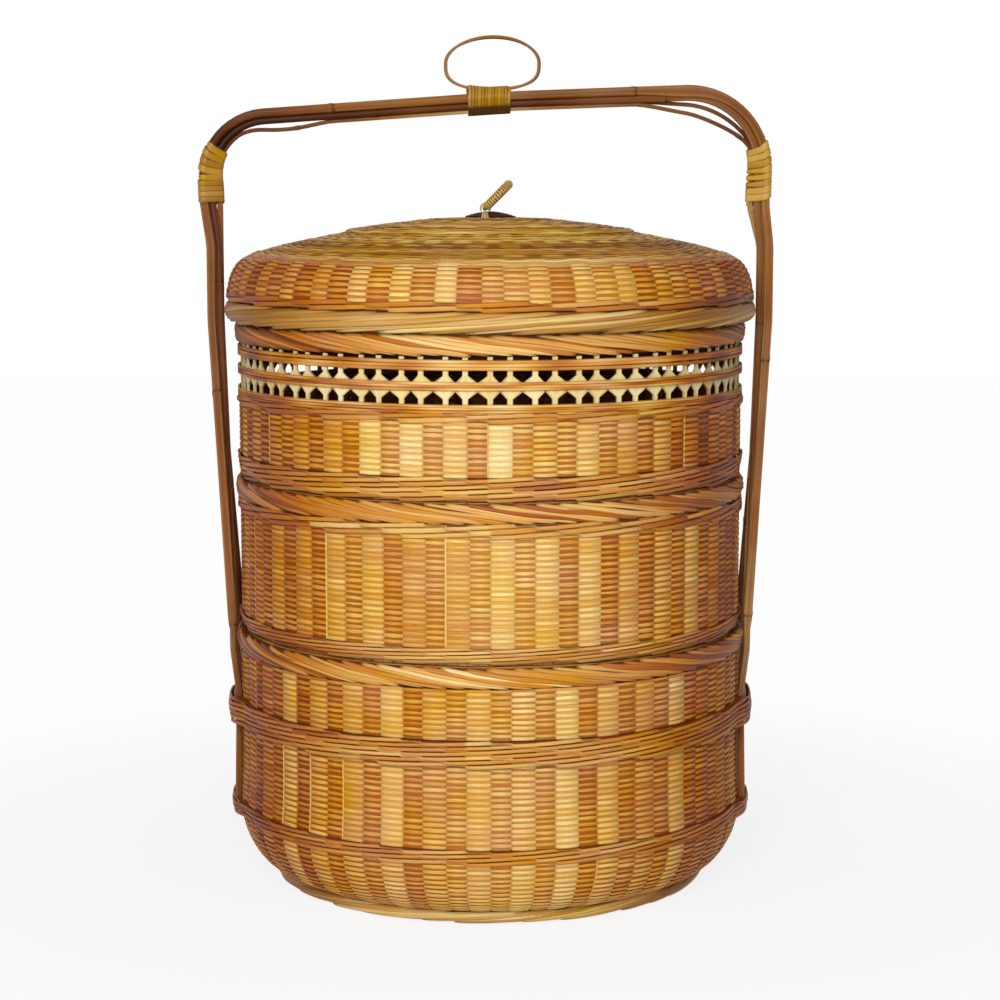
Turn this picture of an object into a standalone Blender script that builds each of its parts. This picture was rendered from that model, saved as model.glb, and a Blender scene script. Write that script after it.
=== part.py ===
# Tiered bamboo food basket: a base carrying a fixed arch handle, two stacked trays and a domed lid.
# Metres, +Z up. The origin is on the floor under the middle of the basket. The handle arch spans X.

import math

import bmesh
import bpy
import numpy as np
from mathutils import Matrix, Vector

# Clearances
seat_gap = 0.0003
nest_clearance = 0.0008
ring_clearance = 0.0005
band_clearance = 0.0009
rim_clearance = 0.0009

# Weaving: upright stakes round every wall
stake_count = 76
stake_relief = 0.0010
rim_relief_share = 1.4
wall_thickness = 0.0030
floor_thickness = 0.0030

# Trays: the radius that the rest of the basket follows
tray_radius = 0.1580
lower_tray_wall_height = 0.0827
upper_tray_wall_height = 0.0527
lower_bottom_band_width = 0.0107
upper_bottom_band_width = 0.0147

# Base
base_spread = 0.0005
belly_spread = 0.0015
foot_inset = 0.0226
foot_width = 0.0062
foot_height = 0.0084
base_wall_height = 0.1386
lower_band_height = 0.0437
lower_band_width = 0.0083
waist_band_height = 0.1020
waist_band_width = 0.0150
band_thickness = 0.0024
waist_band_thickness = 0.0034
band_ramp = math.radians(5)
taper_shares = [(0.0, 0.0), (0.34, 0.10), (0.60, 0.27), (0.85, 0.53), (1.0, 1.0)]

# Rims and bands shared by base and trays
rim_width = 0.0127
rim_lap = 0.0018
base_rim_depth = 0.0053
tray_rim_depth = 0.0043
bottom_band_thickness = 0.0022
nest_depth = 0.0070
nest_hoop_thickness = 0.0030
band_edge_share = 0.33
hoop_edge_share = 0.25

# Open lattice of the upper tray
lattice_thickness = 0.0016
lattice_inset = 0.0006
lattice_foot = 0.0047
lattice_window = 0.0080
lattice_wall_part = 0.0030
lattice_middle = 0.0052
lattice_upper_window = 0.0068
lattice_head = 0.0062
lattice_turn_share = 0.5
strip_width = 0.0036
wide_window = 0.0116
hoop_thickness = 0.0019

# Lid
lid_overhang = 0.0085
lid_side_inset = 0.0019
lid_shoulder_inset = 0.0076
lid_shoulder_height = 0.0242
lid_side_height = 0.0130
lid_dome_inset = 0.0250
lid_dome_height = 0.0332
crown_inset = 0.0420
crown_edge_height = 0.0424
crown_rise = 0.0082
crown_thickness = 0.0026
crown_lap = 0.0060
crown_middle_inset = 0.0390
crown_slope_share = 0.30

# Knob: a cane ring held by a tie on a low button
button_radius = 0.0130
button_height = 0.0020
button_crown = 0.0008
button_flat_share = 0.7
knob_offset = -0.0030
knob_ring_radius = 0.0103
knob_core_diameter = 0.0036
knob_wrap_diameter = 0.0009
knob_tie_diameter = 0.0018
knob_lean = math.radians(45)
knob_wrap_turns = 18
knob_wrap_free_angle = math.radians(36)

# Handle arch: centre line of the bundle of canes
arch_foot_stand = 0.0028
arch_left_stand = 0.0090
arch_right_stand = 0.0020
arch_left_rise = 0.0571
arch_right_climb = 0.0185
arch_crown_climb = 0.0128
arch_crown_offset = 0.0100
arch_left_corner_radius = 0.0360
arch_right_corner_radius = 0.0440
arch_crown_radius = 0.9000
cane_foot_height = 0.0452
cane_width = 0.0054
cane_pitch = 0.0049
middle_cane_width = 0.0046
thin_cane_width = 0.0038
short_cane_width = 0.0026
cane_foot_thickness = 0.0040
post_clearance = 0.0014
lift_room = 0.0330
left_bow = 0.0065
right_bow = 0.0095
bow_length = 0.0900
short_bow_share = 0.45
short_cane_start = 0.0600

# Bindings of flat cane
strip_thickness = 0.0009
shoulder_strip_width = 0.0032
shoulder_pitch = 0.0048
shoulder_turns = 8
shoulder_drop = 0.0508
grip_strip_width = 0.0026
grip_pitch = 0.0033
grip_turns = 8
grip_offset = -0.0005
binding_gap = 0.00045

# Hanging loop above the grip
loop_half_width = 0.0293
loop_height = 0.0328
loop_offset = 0.0015
loop_strip_width = 0.0042
loop_strip_thickness = 0.0022
loop_end_share = 0.10
loop_foot_share = 0.60

# Shading
sharp_angle = math.radians(35)
plain_roughness = 0.45

# Counts of facets
ring_steps = 38
button_steps = 19
knob_ring_steps = 24
knob_core_sides = 5
knob_wrap_sides = 3
tie_steps = 8
loop_steps = 34
short_cane_steps = 14
gap_samples = 5
search_rounds = 40
rim_strands = 19
steps_per_strand = 3
cane_sides = 6
thin_cane_sides = 4
turn_points = 10
knob_turn_points = 6
corner_steps = 8
crossbar_steps = 8

# Where each cane lies: angle at the foot, then shares of cane_pitch at the lid and in the bundle
cane_foot_angles = {"front": -9.0, "middle": -3.0, "inner": 3.0, "back": 9.0}
cane_lid_shares = {
    "front": (0.85, -1.60),
    "middle": (0.0, -0.54),
    "inner": (0.0, 0.54),
    "back": (0.85, 1.60),
}
cane_bundle_shares = {
    "front": (1.0, -0.62),
    "middle": (0.0, -0.16),
    "inner": (-0.92, 0.16),
    "back": (1.0, 0.62),
    "short": (-0.30, 0.92),
}

# Radii and levels worked out from the sizes above
base_radius = tray_radius + base_spread
base_belly_radius = base_radius + belly_spread
foot_radius = base_belly_radius - foot_inset
rim_inner_radius = tray_radius - rim_lap
base_rim_radius = rim_inner_radius + base_rim_depth
tray_rim_radius = rim_inner_radius + tray_rim_depth
lid_rim_radius = tray_radius + lid_overhang
lid_side_radius = lid_rim_radius - lid_side_inset
lid_shoulder_radius = lid_side_radius - lid_shoulder_inset
lid_dome_radius = lid_shoulder_radius - lid_dome_inset
crown_radius = lid_dome_radius - crown_inset
crown_middle_radius = crown_radius - crown_middle_inset
arch_foot_half_width = base_belly_radius + arch_foot_stand
arch_left_half_width = lid_rim_radius + arch_left_stand
arch_right_half_width = lid_rim_radius + arch_right_stand
base_floor_level = foot_height + seat_gap
base_wall_top = base_floor_level + base_wall_height
base_top = base_wall_top + seat_gap + rim_width
lower_tray_bottom = base_top + seat_gap
lower_tray_wall_top = lower_tray_bottom + lower_tray_wall_height
lower_tray_top = lower_tray_wall_top + seat_gap + rim_width
upper_tray_bottom = lower_tray_top + seat_gap
upper_tray_wall_top = upper_tray_bottom + upper_tray_wall_height
lattice_bottom = upper_tray_wall_top + seat_gap
lattice_height = lattice_foot + lattice_window + lattice_middle + lattice_upper_window + lattice_head
lattice_top = lattice_bottom + lattice_height
upper_tray_top = lattice_top + seat_gap + rim_width
lid_bottom = upper_tray_top + seat_gap
lid_rim_top = lid_bottom + rim_width
lid_wall_bottom = lid_rim_top + seat_gap
lid_top = lid_wall_bottom + crown_edge_height + seat_gap + crown_rise
arch_left_height = lid_top + arch_left_rise
arch_right_height = arch_left_height + arch_right_climb
arch_crown_height = arch_left_height + arch_crown_climb
shoulder_height = arch_left_height - shoulder_drop
nest_hoop_radius = rim_inner_radius - nest_clearance
lattice_radius = tray_radius - lattice_inset
facet_rise = 1 / math.cos(math.pi / ring_steps)
button_bottom = lid_top + seat_gap
knob_pivot_level = button_bottom + button_height + button_crown + seat_gap + knob_core_diameter / 2

colours = {
    "honey_weave": (0.62, 0.33, 0.10),
    "pale_split": (0.78, 0.60, 0.30),
    "rim_split": (0.55, 0.27, 0.08),
    "brown_cane": (0.36, 0.17, 0.06),
    "golden_cane": (0.72, 0.47, 0.10),
}


def clear_scene():
    for thing in list(bpy.data.objects):
        bpy.data.objects.remove(thing, do_unlink=True)


def make_material(name):
    material = bpy.data.materials.new(name)
    material.use_nodes = True
    shader = material.node_tree.nodes["Principled BSDF"]
    shader.inputs["Base Color"].default_value = (*colours[name], 1.0)
    shader.inputs["Roughness"].default_value = plain_roughness
    material.diffuse_color = (*colours[name], 1.0)
    return material


def make_empty(name, place, parent=None, turn=0.0):
    empty = bpy.data.objects.new(name, None)
    bpy.context.scene.collection.objects.link(empty)
    empty.parent = parent
    empty.location = place
    empty.rotation_euler = (0.0, turn, 0.0)
    return empty


# Makes an object of a finished bmesh that was drawn in world coordinates, or in its parent's when local
def finish_object(name, bm, material, parent, local=False):
    bmesh.ops.recalc_face_normals(bm, faces=bm.faces)
    if not local:
        bmesh.ops.translate(bm, verts=bm.verts, vec=-parent.matrix_world.translation)
    mesh = bpy.data.meshes.new(name)
    bm.to_mesh(mesh)
    bm.free()
    mesh.materials.append(material)
    mesh.shade_smooth()
    mesh.set_sharp_from_angle(angle=sharp_angle)
    thing = bpy.data.objects.new(name, mesh)
    bpy.context.scene.collection.objects.link(thing)
    thing.parent = parent
    return thing


# Skins a row of closed sections, each a list of points, into quads; joins the last to the first or caps both
def skin(sections, closed):
    bm = bmesh.new()
    rows = [[bm.verts.new(point) for point in section] for section in sections]
    pairs = list(zip(rows, rows[1:]))
    if closed:
        pairs.append((rows[-1], rows[0]))
    for this_row, next_row in pairs:
        for index, corner in enumerate(this_row):
            before = index - 1
            bm.faces.new((this_row[before], corner, next_row[index], next_row[before]))
    if not closed:
        bm.faces.new(rows[0])
        bm.faces.new(rows[-1])
    return bm


def round_points(section_at, angles):
    sections = []
    for angle in angles:
        across = Vector((math.cos(angle), math.sin(angle), 0.0))
        sections.append([across * radius + Vector((0.0, 0.0, level)) for radius, level in section_at(angle)])
    return sections


def even_angles(count):
    return [2 * math.pi * step / count for step in range(count)]


# A closed profile of (radius, level) spun round the Z axis
def turned_ring(name, profile, material, parent, steps=ring_steps):
    bm = bmesh.new()
    corners = [bm.verts.new((radius, 0.0, level)) for radius, level in profile]
    edges = [bm.edges.new((corners[index - 1], corners[index])) for index in range(len(corners))]
    bmesh.ops.spin(bm, geom=corners + edges, cent=(0.0, 0.0, 0.0), axis=(0.0, 0.0, 1.0),
                   angle=2 * math.pi, steps=steps, use_merge=True)
    return finish_object(name, bm, material, parent)


# An open profile whose two ends lie on the Z axis, spun into a disc or a dome
def turned_disc(name, profile, material, parent, steps=ring_steps):
    bm = bmesh.new()
    corners = [bm.verts.new((radius, 0.0, level)) for radius, level in profile]
    edges = [bm.edges.new(pair) for pair in zip(corners, corners[1:])]
    bmesh.ops.spin(bm, geom=corners + edges, cent=(0.0, 0.0, 0.0), axis=(0.0, 0.0, 1.0),
                   angle=2 * math.pi, steps=steps, use_merge=True)
    bmesh.ops.remove_doubles(bm, verts=bm.verts, dist=seat_gap / 100)
    return finish_object(name, bm, material, parent)


# A woven wall: every second stake stands proud of its neighbours
def woven_wall(name, outer, inner, material, parent):
    def section_at(angle):
        stake = round(angle * stake_count / (2 * math.pi))
        sink = stake_relief * (stake % 2)
        return [(radius - sink, level) for radius, level in outer] + list(inner)

    bm = skin(round_points(section_at, even_angles(stake_count)), closed=True)
    return finish_object(name, bm, material, parent)


# A rim of long slanting splits: the ridge of each split moves one step round at each level of its face
def slanted_rim(name, inner_radius, outer_radius, bottom, material, parent, lean=1):
    relief = stake_relief * rim_relief_share

    def section_at(angle):
        def ridge(row):
            turn = rim_strands * angle - lean * row * 2 * math.pi / steps_per_strand
            return outer_radius - relief * (1 - math.cos(turn)) / 2

        return [
            (inner_radius, bottom),
            (ridge(0) - relief, bottom),
            (ridge(1), bottom + rim_width / 2),
            (ridge(2) - relief, bottom + rim_width),
            (inner_radius, bottom + rim_width),
        ]

    bm = skin(round_points(section_at, even_angles(rim_strands * steps_per_strand)), closed=True)
    return finish_object(name, bm, material, parent)


# A flat band with rounded edges round a wall
def band_profile(inner_radius, thickness, bottom, width):
    edge = thickness * band_edge_share
    outer_radius = inner_radius + thickness
    return [
        (inner_radius, bottom),
        (outer_radius - edge, bottom),
        (outer_radius, bottom + width / 2),
        (outer_radius - edge, bottom + width),
        (inner_radius, bottom + width),
    ]


def hoop_profile(inner_radius, thickness, bottom, width):
    outer_radius = inner_radius + thickness
    edge = width * hoop_edge_share
    return [
        (inner_radius, bottom),
        (outer_radius, bottom + edge),
        (outer_radius, bottom + width - edge),
        (inner_radius, bottom + width),
    ]


def square_ring(inner_radius, outer_radius, bottom, top):
    return [(inner_radius, bottom), (outer_radius, bottom), (outer_radius, top), (inner_radius, top)]


# Outer radius of the base's wall at a level, belly included
def base_wall_radius(level):
    points = base_outer_points()
    for (low_radius, low), (high_radius, high) in zip(points, points[1:]):
        if low <= level <= high:
            return low_radius + (high_radius - low_radius) * (level - low) / (high - low)
    return base_radius


def base_outer_points():
    taper = lower_band_height - base_floor_level
    spread = base_belly_radius - foot_radius
    points = [(foot_radius + spread * out, base_floor_level + taper * up) for out, up in taper_shares]
    points.append((base_radius, waist_band_height))
    points.append((base_radius, base_wall_top))
    return points


def base_inner_points():
    outer = base_outer_points()
    depth = stake_relief + wall_thickness
    low_radius, low_level = outer[2]
    return [
        (base_radius - depth, base_wall_top),
        (base_belly_radius - depth, lower_band_height),
        (low_radius - depth, low_level + wall_thickness),
        (foot_radius - depth, base_floor_level),
    ]


def build_base(materials, parent):
    turned_ring("base_foot_hoop", square_ring(foot_radius - foot_width, foot_radius, 0.0, foot_height),
                materials["rim_split"], parent)
    woven_wall("base_wall", base_outer_points(), base_inner_points(), materials["honey_weave"], parent)
    floor_radius = foot_radius - stake_relief - wall_thickness - seat_gap
    disc = [(0.0, base_floor_level), (floor_radius, base_floor_level),
            (floor_radius, base_floor_level + floor_thickness), (0.0, base_floor_level + floor_thickness)]
    turned_disc("base_floor", disc, materials["honey_weave"], parent)
    belly_radius = base_belly_radius * facet_rise + seat_gap
    raised_band("base_lower_band", hoop_profile, belly_radius, lower_band_height, lower_band_width,
                band_thickness, materials["rim_split"], parent)
    waist_radius = base_wall_radius(waist_band_height) * facet_rise + seat_gap
    raised_band("base_waist_band", band_profile, waist_radius, waist_band_height, waist_band_width,
                waist_band_thickness, materials["rim_split"], parent)
    slanted_rim("base_rim", rim_inner_radius, base_rim_radius, base_wall_top + seat_gap,
                materials["rim_split"], parent)


# Radius of the middle of a cane that lies on the base's wall
def cane_wall_radius(level):
    return base_wall_radius(level) + seat_gap + cane_foot_thickness / 2


# A band that rises over the canes' feet on both sides of the base
def raised_band(name, profile_of, inner_radius, bottom, width, thickness, material, parent):
    covered = math.radians(max(cane_foot_angles.values())) + cane_width / base_radius
    over_canes = base_belly_radius + cane_foot_thickness + band_clearance
    step = 2 * math.pi / ring_steps
    near = [-covered - band_ramp, -covered, -covered / 3, covered / 3, covered, covered + band_ramp]
    angles = []
    for side in (0.0, math.pi):
        angles += [side + angle for angle in near]
        angles += [side + step * count for count in range(2, ring_steps // 2 - 1)]

    def section_at(angle):
        away = abs(math.remainder(angle, math.pi))
        share = min(1.0, max(0.0, (covered + band_ramp - away) / band_ramp))
        radius = inner_radius + (over_canes - inner_radius) * share
        return profile_of(radius, thickness, bottom, width)

    bm = skin(round_points(section_at, angles), closed=True)
    return finish_object(name, bm, material, parent)


def build_tray(name, bottom, wall_height, band_width, materials, parent):
    weave = materials["honey_weave"]
    split = materials["rim_split"]
    inner_radius = tray_radius - stake_relief - wall_thickness
    wall_top = bottom + wall_height
    woven_wall(name + "_wall", [(tray_radius, bottom), (tray_radius, wall_top)],
               [(inner_radius, wall_top), (inner_radius, bottom)], weave, parent)
    floor_radius = inner_radius * math.cos(math.pi / stake_count) - seat_gap
    disc = [(0.0, bottom), (floor_radius, bottom), (floor_radius, bottom + floor_thickness),
            (0.0, bottom + floor_thickness)]
    turned_disc(name + "_floor", disc, weave, parent)
    turned_ring(name + "_nest_hoop",
                square_ring(nest_hoop_radius - nest_hoop_thickness, nest_hoop_radius,
                            bottom - seat_gap - nest_depth, bottom - seat_gap),
                split, parent)
    turned_ring(name + "_bottom_band",
                hoop_profile(tray_radius * facet_rise + seat_gap, bottom_band_thickness, bottom, band_width),
                split, parent)


def build_lower_tray(materials, parent):
    build_tray("lower_tray", lower_tray_bottom, lower_tray_wall_height, lower_bottom_band_width,
               materials, parent)
    slanted_rim("lower_tray_rim", rim_inner_radius, tray_rim_radius, lower_tray_wall_top + seat_gap,
                materials["rim_split"], parent, lean=-1)


# Half widths of the windows, wide and narrow by turns, as angles
def window_angles():
    pitch = 2 * math.pi / stake_count
    wide = wide_window / lattice_radius
    narrow = 2 * pitch - wide - 2 * strip_width / lattice_radius
    return pitch, wide / 2, narrow / 2


# The split stakes cross at the middle hoop: gabled windows below it, funnel windows above it
def build_lattice(materials, parent):
    pitch, wide, narrow = window_angles()
    bm = bmesh.new()

    def point(angle, level):
        return bm.verts.new((lattice_radius * math.cos(angle), lattice_radius * math.sin(angle), level))

    sill = lattice_bottom + lattice_foot
    eaves = sill + lattice_wall_part
    gable = sill + lattice_window
    throat = gable + lattice_middle
    head = throat + lattice_upper_window
    columns = []
    for stake in range(stake_count):
        middle = pitch * (stake + lattice_turn_share)
        half = narrow if stake % 2 else wide
        columns.append({
            "foot": point(middle, lattice_bottom),
            "sill": (point(middle - half, sill), point(middle + half, sill)),
            "eaves": (point(middle - half, eaves), point(middle + half, eaves)),
            "gable": point(middle, gable),
            "throat": point(middle, throat),
            "head": (point(middle - half, head), point(middle + half, head)),
            "top": point(middle, lattice_top),
        })
    for this, following in zip(columns, columns[1:] + columns[:1]):
        bm.faces.new((this["foot"], this["sill"][1], this["sill"][0]))
        bm.faces.new((this["foot"], following["foot"], following["sill"][0], this["sill"][1]))
        bm.faces.new((this["sill"][1], following["sill"][0], following["eaves"][0], this["eaves"][1]))
        bm.faces.new((this["eaves"][1], following["eaves"][0], following["gable"], this["gable"]))
        bm.faces.new((this["gable"], following["gable"], following["throat"], this["throat"]))
        bm.faces.new((this["throat"], following["throat"], following["head"][0], this["head"][1]))
        bm.faces.new((this["head"][1], following["head"][0], following["top"], this["top"]))
        bm.faces.new((this["head"][0], this["head"][1], this["top"]))
    lattice = finish_object("upper_tray_lattice", bm, materials["pale_split"], parent)
    wall = lattice.modifiers.new("strip_thickness", "SOLIDIFY")
    wall.thickness = lattice_thickness
    wall.offset = -1.0
    return lattice


def build_upper_tray(materials, parent):
    build_tray("upper_tray", upper_tray_bottom, upper_tray_wall_height, upper_bottom_band_width,
               materials, parent)
    build_lattice(materials, parent)
    inner_radius = lattice_radius * facet_rise + seat_gap
    middle_bottom = lattice_bottom + lattice_foot + lattice_window
    upper_bottom = middle_bottom + lattice_middle + lattice_upper_window
    hoops = {
        "upper_tray_lower_hoop": (lattice_bottom, lattice_foot),
        "upper_tray_middle_hoop": (middle_bottom, lattice_middle),
        "upper_tray_upper_hoop": (upper_bottom, lattice_head),
    }
    for name, (bottom, width) in hoops.items():
        turned_ring(name, hoop_profile(inner_radius, hoop_thickness, bottom, width),
                    materials["rim_split"], parent)
    slanted_rim("upper_tray_rim", rim_inner_radius, tray_rim_radius, lattice_top + seat_gap,
                materials["rim_split"], parent)


def build_lid(materials, parent):
    rim_inner = nest_hoop_radius + seat_gap
    slanted_rim("lid_rim", rim_inner, lid_rim_radius, lid_bottom, materials["pale_split"], parent, lean=-1)
    crown_edge = lid_wall_bottom + crown_edge_height
    outer = [
        (lid_side_radius, lid_wall_bottom),
        (lid_side_radius, lid_wall_bottom + lid_side_height),
        (lid_shoulder_radius, lid_wall_bottom + lid_shoulder_height),
        (lid_dome_radius, lid_wall_bottom + lid_dome_height),
        (crown_radius - crown_lap, crown_edge),
    ]
    under = stake_relief + wall_thickness
    inner = [
        (crown_radius - crown_lap, crown_edge - under),
        (lid_dome_radius - under / 2, lid_wall_bottom + lid_dome_height - under),
        (lid_side_radius - under, lid_wall_bottom + lid_side_height),
        (lid_side_radius - under, lid_wall_bottom),
    ]
    woven_wall("lid_wall", outer, inner, materials["honey_weave"], parent)
    build_crown(crown_edge, materials, parent)
    turned_ring("lid_nest_hoop",
                square_ring(nest_hoop_radius - nest_hoop_thickness, nest_hoop_radius,
                            lid_bottom - nest_depth, lid_rim_top),
                materials["rim_split"], parent)
    flat_top = button_bottom + button_height
    button = [(0.0, button_bottom), (button_radius, button_bottom),
              (button_radius, button_bottom + button_height / 2),
              (button_radius * button_flat_share, flat_top), (0.0, flat_top + button_crown)]
    turned_disc("knob_button", button, materials["brown_cane"], parent, steps=button_steps)
    build_tie(materials, parent)


# The crown laps over the top edge of the lid's wall and rises to the middle
def build_crown(crown_edge, materials, parent):
    slope = (crown_edge_height - lid_dome_height) / (lid_dome_radius - crown_radius + crown_lap)
    edge_bottom = crown_edge + seat_gap - slope * crown_lap
    seat_bottom = crown_edge + seat_gap
    middle_top = lid_top - crown_rise * crown_slope_share
    crown = [
        (0.0, lid_top - crown_thickness),
        (crown_middle_radius, middle_top - crown_thickness),
        (crown_radius - crown_lap, seat_bottom),
        (crown_radius, edge_bottom + stake_relief),
        (crown_radius, edge_bottom + stake_relief + crown_thickness / 2),
        (crown_middle_radius, middle_top),
        (0.0, lid_top),
    ]
    turned_disc("lid_crown", crown, materials["honey_weave"], parent)


# A staple of cane over the foot of the knob's ring
def build_tie(materials, parent):
    radius = knob_core_diameter / 2 + ring_clearance + knob_tie_diameter / 2
    foot_level = button_bottom + button_height + button_crown + seat_gap
    path = [Vector((knob_offset - radius, 0.0, foot_level))]
    for step in range(tie_steps + 1):
        angle = math.pi * (1 - step / tie_steps)
        path.append(Vector((knob_offset + radius * math.cos(angle), 0.0,
                            knob_pivot_level + radius * math.sin(angle))))
    path.append(Vector((knob_offset + radius, 0.0, foot_level)))
    sections = []
    for index, centre in enumerate(path):
        ahead = path[min(index + 1, len(path) - 1)] - path[max(index - 1, 0)]
        outward = Vector((-ahead.z, 0.0, ahead.x)).normalized()
        sections.append(round_section(centre, outward, Vector((0.0, 1.0, 0.0)),
                                      knob_tie_diameter, knob_tie_diameter, cane_sides))
    finish_object("knob_tie", skin(sections, closed=False), materials["golden_cane"], parent)


def round_section(centre, first_axis, second_axis, first_width, second_width, sides):
    points = []
    for side in range(sides):
        angle = 2 * math.pi * (side + 0.5) / sides
        points.append(centre + first_axis * (first_width / 2 * math.cos(angle))
                      + second_axis * (second_width / 2 * math.sin(angle)))
    return points


# The knob's ring stands upright in its own frame, whose Y axis is the pivot; the frame leans over
def build_knob_ring(materials, parent):
    centre = Vector((0.0, 0.0, knob_ring_radius))
    sections = []
    for angle in even_angles(knob_ring_steps):
        outward = Vector((0.0, math.sin(angle), -math.cos(angle)))
        sections.append(round_section(centre + outward * knob_ring_radius, outward, Vector((1.0, 0.0, 0.0)),
                                      knob_core_diameter, knob_core_diameter, knob_core_sides))
    finish_object("knob_ring", skin(sections, closed=True), materials["golden_cane"], parent, local=True)
    wrap_knob_ring(centre, materials, parent)


def wrap_knob_ring(centre, materials, parent):
    count = knob_wrap_turns * knob_turn_points
    wrap_radius = knob_core_diameter / 2 + binding_gap + knob_wrap_diameter / 2
    path = []
    for index in range(count + 1):
        share = index / count
        round_ring = knob_wrap_free_angle + share * (2 * math.pi - 2 * knob_wrap_free_angle)
        round_core = 2 * math.pi * index / knob_turn_points
        outward = Vector((0.0, math.sin(round_ring), -math.cos(round_ring)))
        across = outward * math.cos(round_core) + Vector((1.0, 0.0, 0.0)) * math.sin(round_core)
        path.append((centre + outward * knob_ring_radius + across * wrap_radius, across))
    sections = []
    for index, (place, across) in enumerate(path):
        ahead = path[min(index + 1, count)][0] - path[max(index - 1, 0)][0]
        beside = across.cross(ahead).normalized()
        sections.append(round_section(place, across, beside, knob_wrap_diameter, knob_wrap_diameter,
                                      knob_wrap_sides))
    print_least_gap("knob_ring_wrap", sections, knob_turn_points)
    bm = skin(sections, closed=False)
    finish_object("knob_ring_wrap", bm, materials["golden_cane"], parent, local=True)


# Least distance between a winding's turns, measured on points along its edges
def print_least_gap(name, sections, points_per_turn):
    shares = np.arange(gap_samples) / gap_samples
    rows = np.array([[tuple(point) for point in section] for section in sections])
    shares = shares[None, :, None, None]
    between = rows[:-1, None] * (1 - shares) + rows[1:, None] * shares
    stations = between.reshape(-1, rows.shape[1], 3)
    skip = points_per_turn * gap_samples // 2
    least = math.inf
    for index in range(len(stations) - skip):
        last = min(len(stations), index + skip + 2 * points_per_turn * gap_samples)
        others = stations[index + skip:last].reshape(-1, 1, 3)
        least = min(least, float(np.linalg.norm(others - stations[index][None], axis=2).min()))
    print(f"{name}: least gap to itself {least * 1000:.2f} mm")


# The arch's centre line, straight runs joined by arcs: (length, start, direction, centre, radius) of each
def arch_pieces():
    corners = [
        (Vector((-arch_foot_half_width, cane_foot_height)), 0.0),
        (Vector((-arch_left_half_width, arch_left_height)), arch_left_corner_radius),
        (Vector((arch_crown_offset, arch_crown_height)), arch_crown_radius),
        (Vector((arch_right_half_width, arch_right_height)), arch_right_corner_radius),
        (Vector((arch_foot_half_width, cane_foot_height)), 0.0),
    ]
    pieces = []
    start = corners[0][0]
    for (here, radius), (following, _) in zip(corners[1:], corners[2:]):
        incoming = (here - start).normalized()
        outgoing = (following - here).normalized()
        turn = incoming.angle(outgoing)
        cut = radius * math.tan(turn / 2)
        arc_start = here - incoming * cut
        inward = Vector((incoming.y, -incoming.x))
        pieces.append(((arc_start - start).length, start, incoming, None, 0.0))
        pieces.append((radius * turn, arc_start, incoming, arc_start + inward * radius, radius))
        start = here + outgoing * cut
    last = corners[-1][0]
    pieces.append(((last - start).length, start, (last - start).normalized(), None, 0.0))
    return pieces


arch = arch_pieces()
arch_length = sum(piece[0] for piece in arch)


# Place, direction and outward normal on the arch's centre line at a distance along it
def arch_at(distance):
    for length, start, direction, centre, radius in arch:
        if distance <= length or (length, start) == (arch[-1][0], arch[-1][1]):
            break
        distance -= length
    if centre is None:
        place = start + direction * distance
        heading = direction
    else:
        turn = Matrix.Rotation(-distance / radius, 2)
        place = centre + turn @ (start - centre)
        heading = turn @ direction
    along = Vector((heading.x, 0.0, heading.y))
    outward = Vector((-heading.y, 0.0, heading.x))
    return Vector((place.x, 0.0, place.y)), along, outward


# Distance along the arch at which its left or right post reaches a height
def post_distance(height, side):
    length, start, direction, _, _ = arch[0] if side < 0 else arch[-1]
    if side < 0:
        return (height - start.y) / direction.y
    return arch_length - length + (height - start.y) / direction.y


# Offsets of a cane from the arch's centre line on a post: along the outward normal and along Y
def post_offsets(cane, height, side):
    angle = math.radians(cane_foot_angles[cane])
    bundle = cane_bundle_shares[cane]
    width = cane_size(cane)
    lid_radius = lid_rim_radius + post_clearance + width / 2
    lid_share, lid_side_share = cane_lid_shares[cane]
    keys = []
    for level in (cane_foot_height, waist_band_height + waist_band_width):
        radius = cane_wall_radius(level)
        keys.append((level, radius * math.cos(angle), radius * math.sin(angle)))
    rim_place = base_rim_radius + cane_foot_thickness / 2 + rim_clearance
    for level in (base_wall_top - seat_gap, base_top + seat_gap):
        keys.append((level, rim_place * math.cos(angle), rim_place * math.sin(angle)))
    for level in (lid_bottom - seat_gap, lid_wall_bottom + lift_room):
        keys.append((level, lid_radius + lid_share * cane_pitch, lid_side_share * cane_pitch))
    shoulder = arch_at(post_distance(shoulder_height, side))[0]
    keys.append((shoulder_height, abs(shoulder.x) + bundle[0] * cane_pitch, bundle[1] * cane_pitch))
    for (low, low_x, low_y), (high, high_x, high_y) in zip(keys, keys[1:]):
        if height <= high:
            share = max(0.0, (height - low) / (high - low))
            return low_x + (high_x - low_x) * share, low_y + (high_y - low_y) * share
    return keys[-1][1], keys[-1][2]


def cane_size(cane):
    return {"front": cane_width, "back": cane_width, "middle": middle_cane_width,
            "inner": thin_cane_width, "short": short_cane_width}[cane]


# How far a thin cane strays inwards past each shoulder binding
def stray(cane, distance):
    if cane not in ("inner", "short"):
        return 0.0
    bound = shoulder_turns * shoulder_pitch
    starts = {-1: post_distance(shoulder_height, -1) + bound, 1: post_distance(shoulder_height, 1) - bound}
    for side, start in starts.items():
        share = (distance - start) * -side / bow_length
        if 0.0 < share < 1.0:
            depth = left_bow if side < 0 else right_bow
            part = 1.0 if cane == "inner" else short_bow_share
            return depth * part * math.sin(math.pi * share) ** 2
    return 0.0


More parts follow.
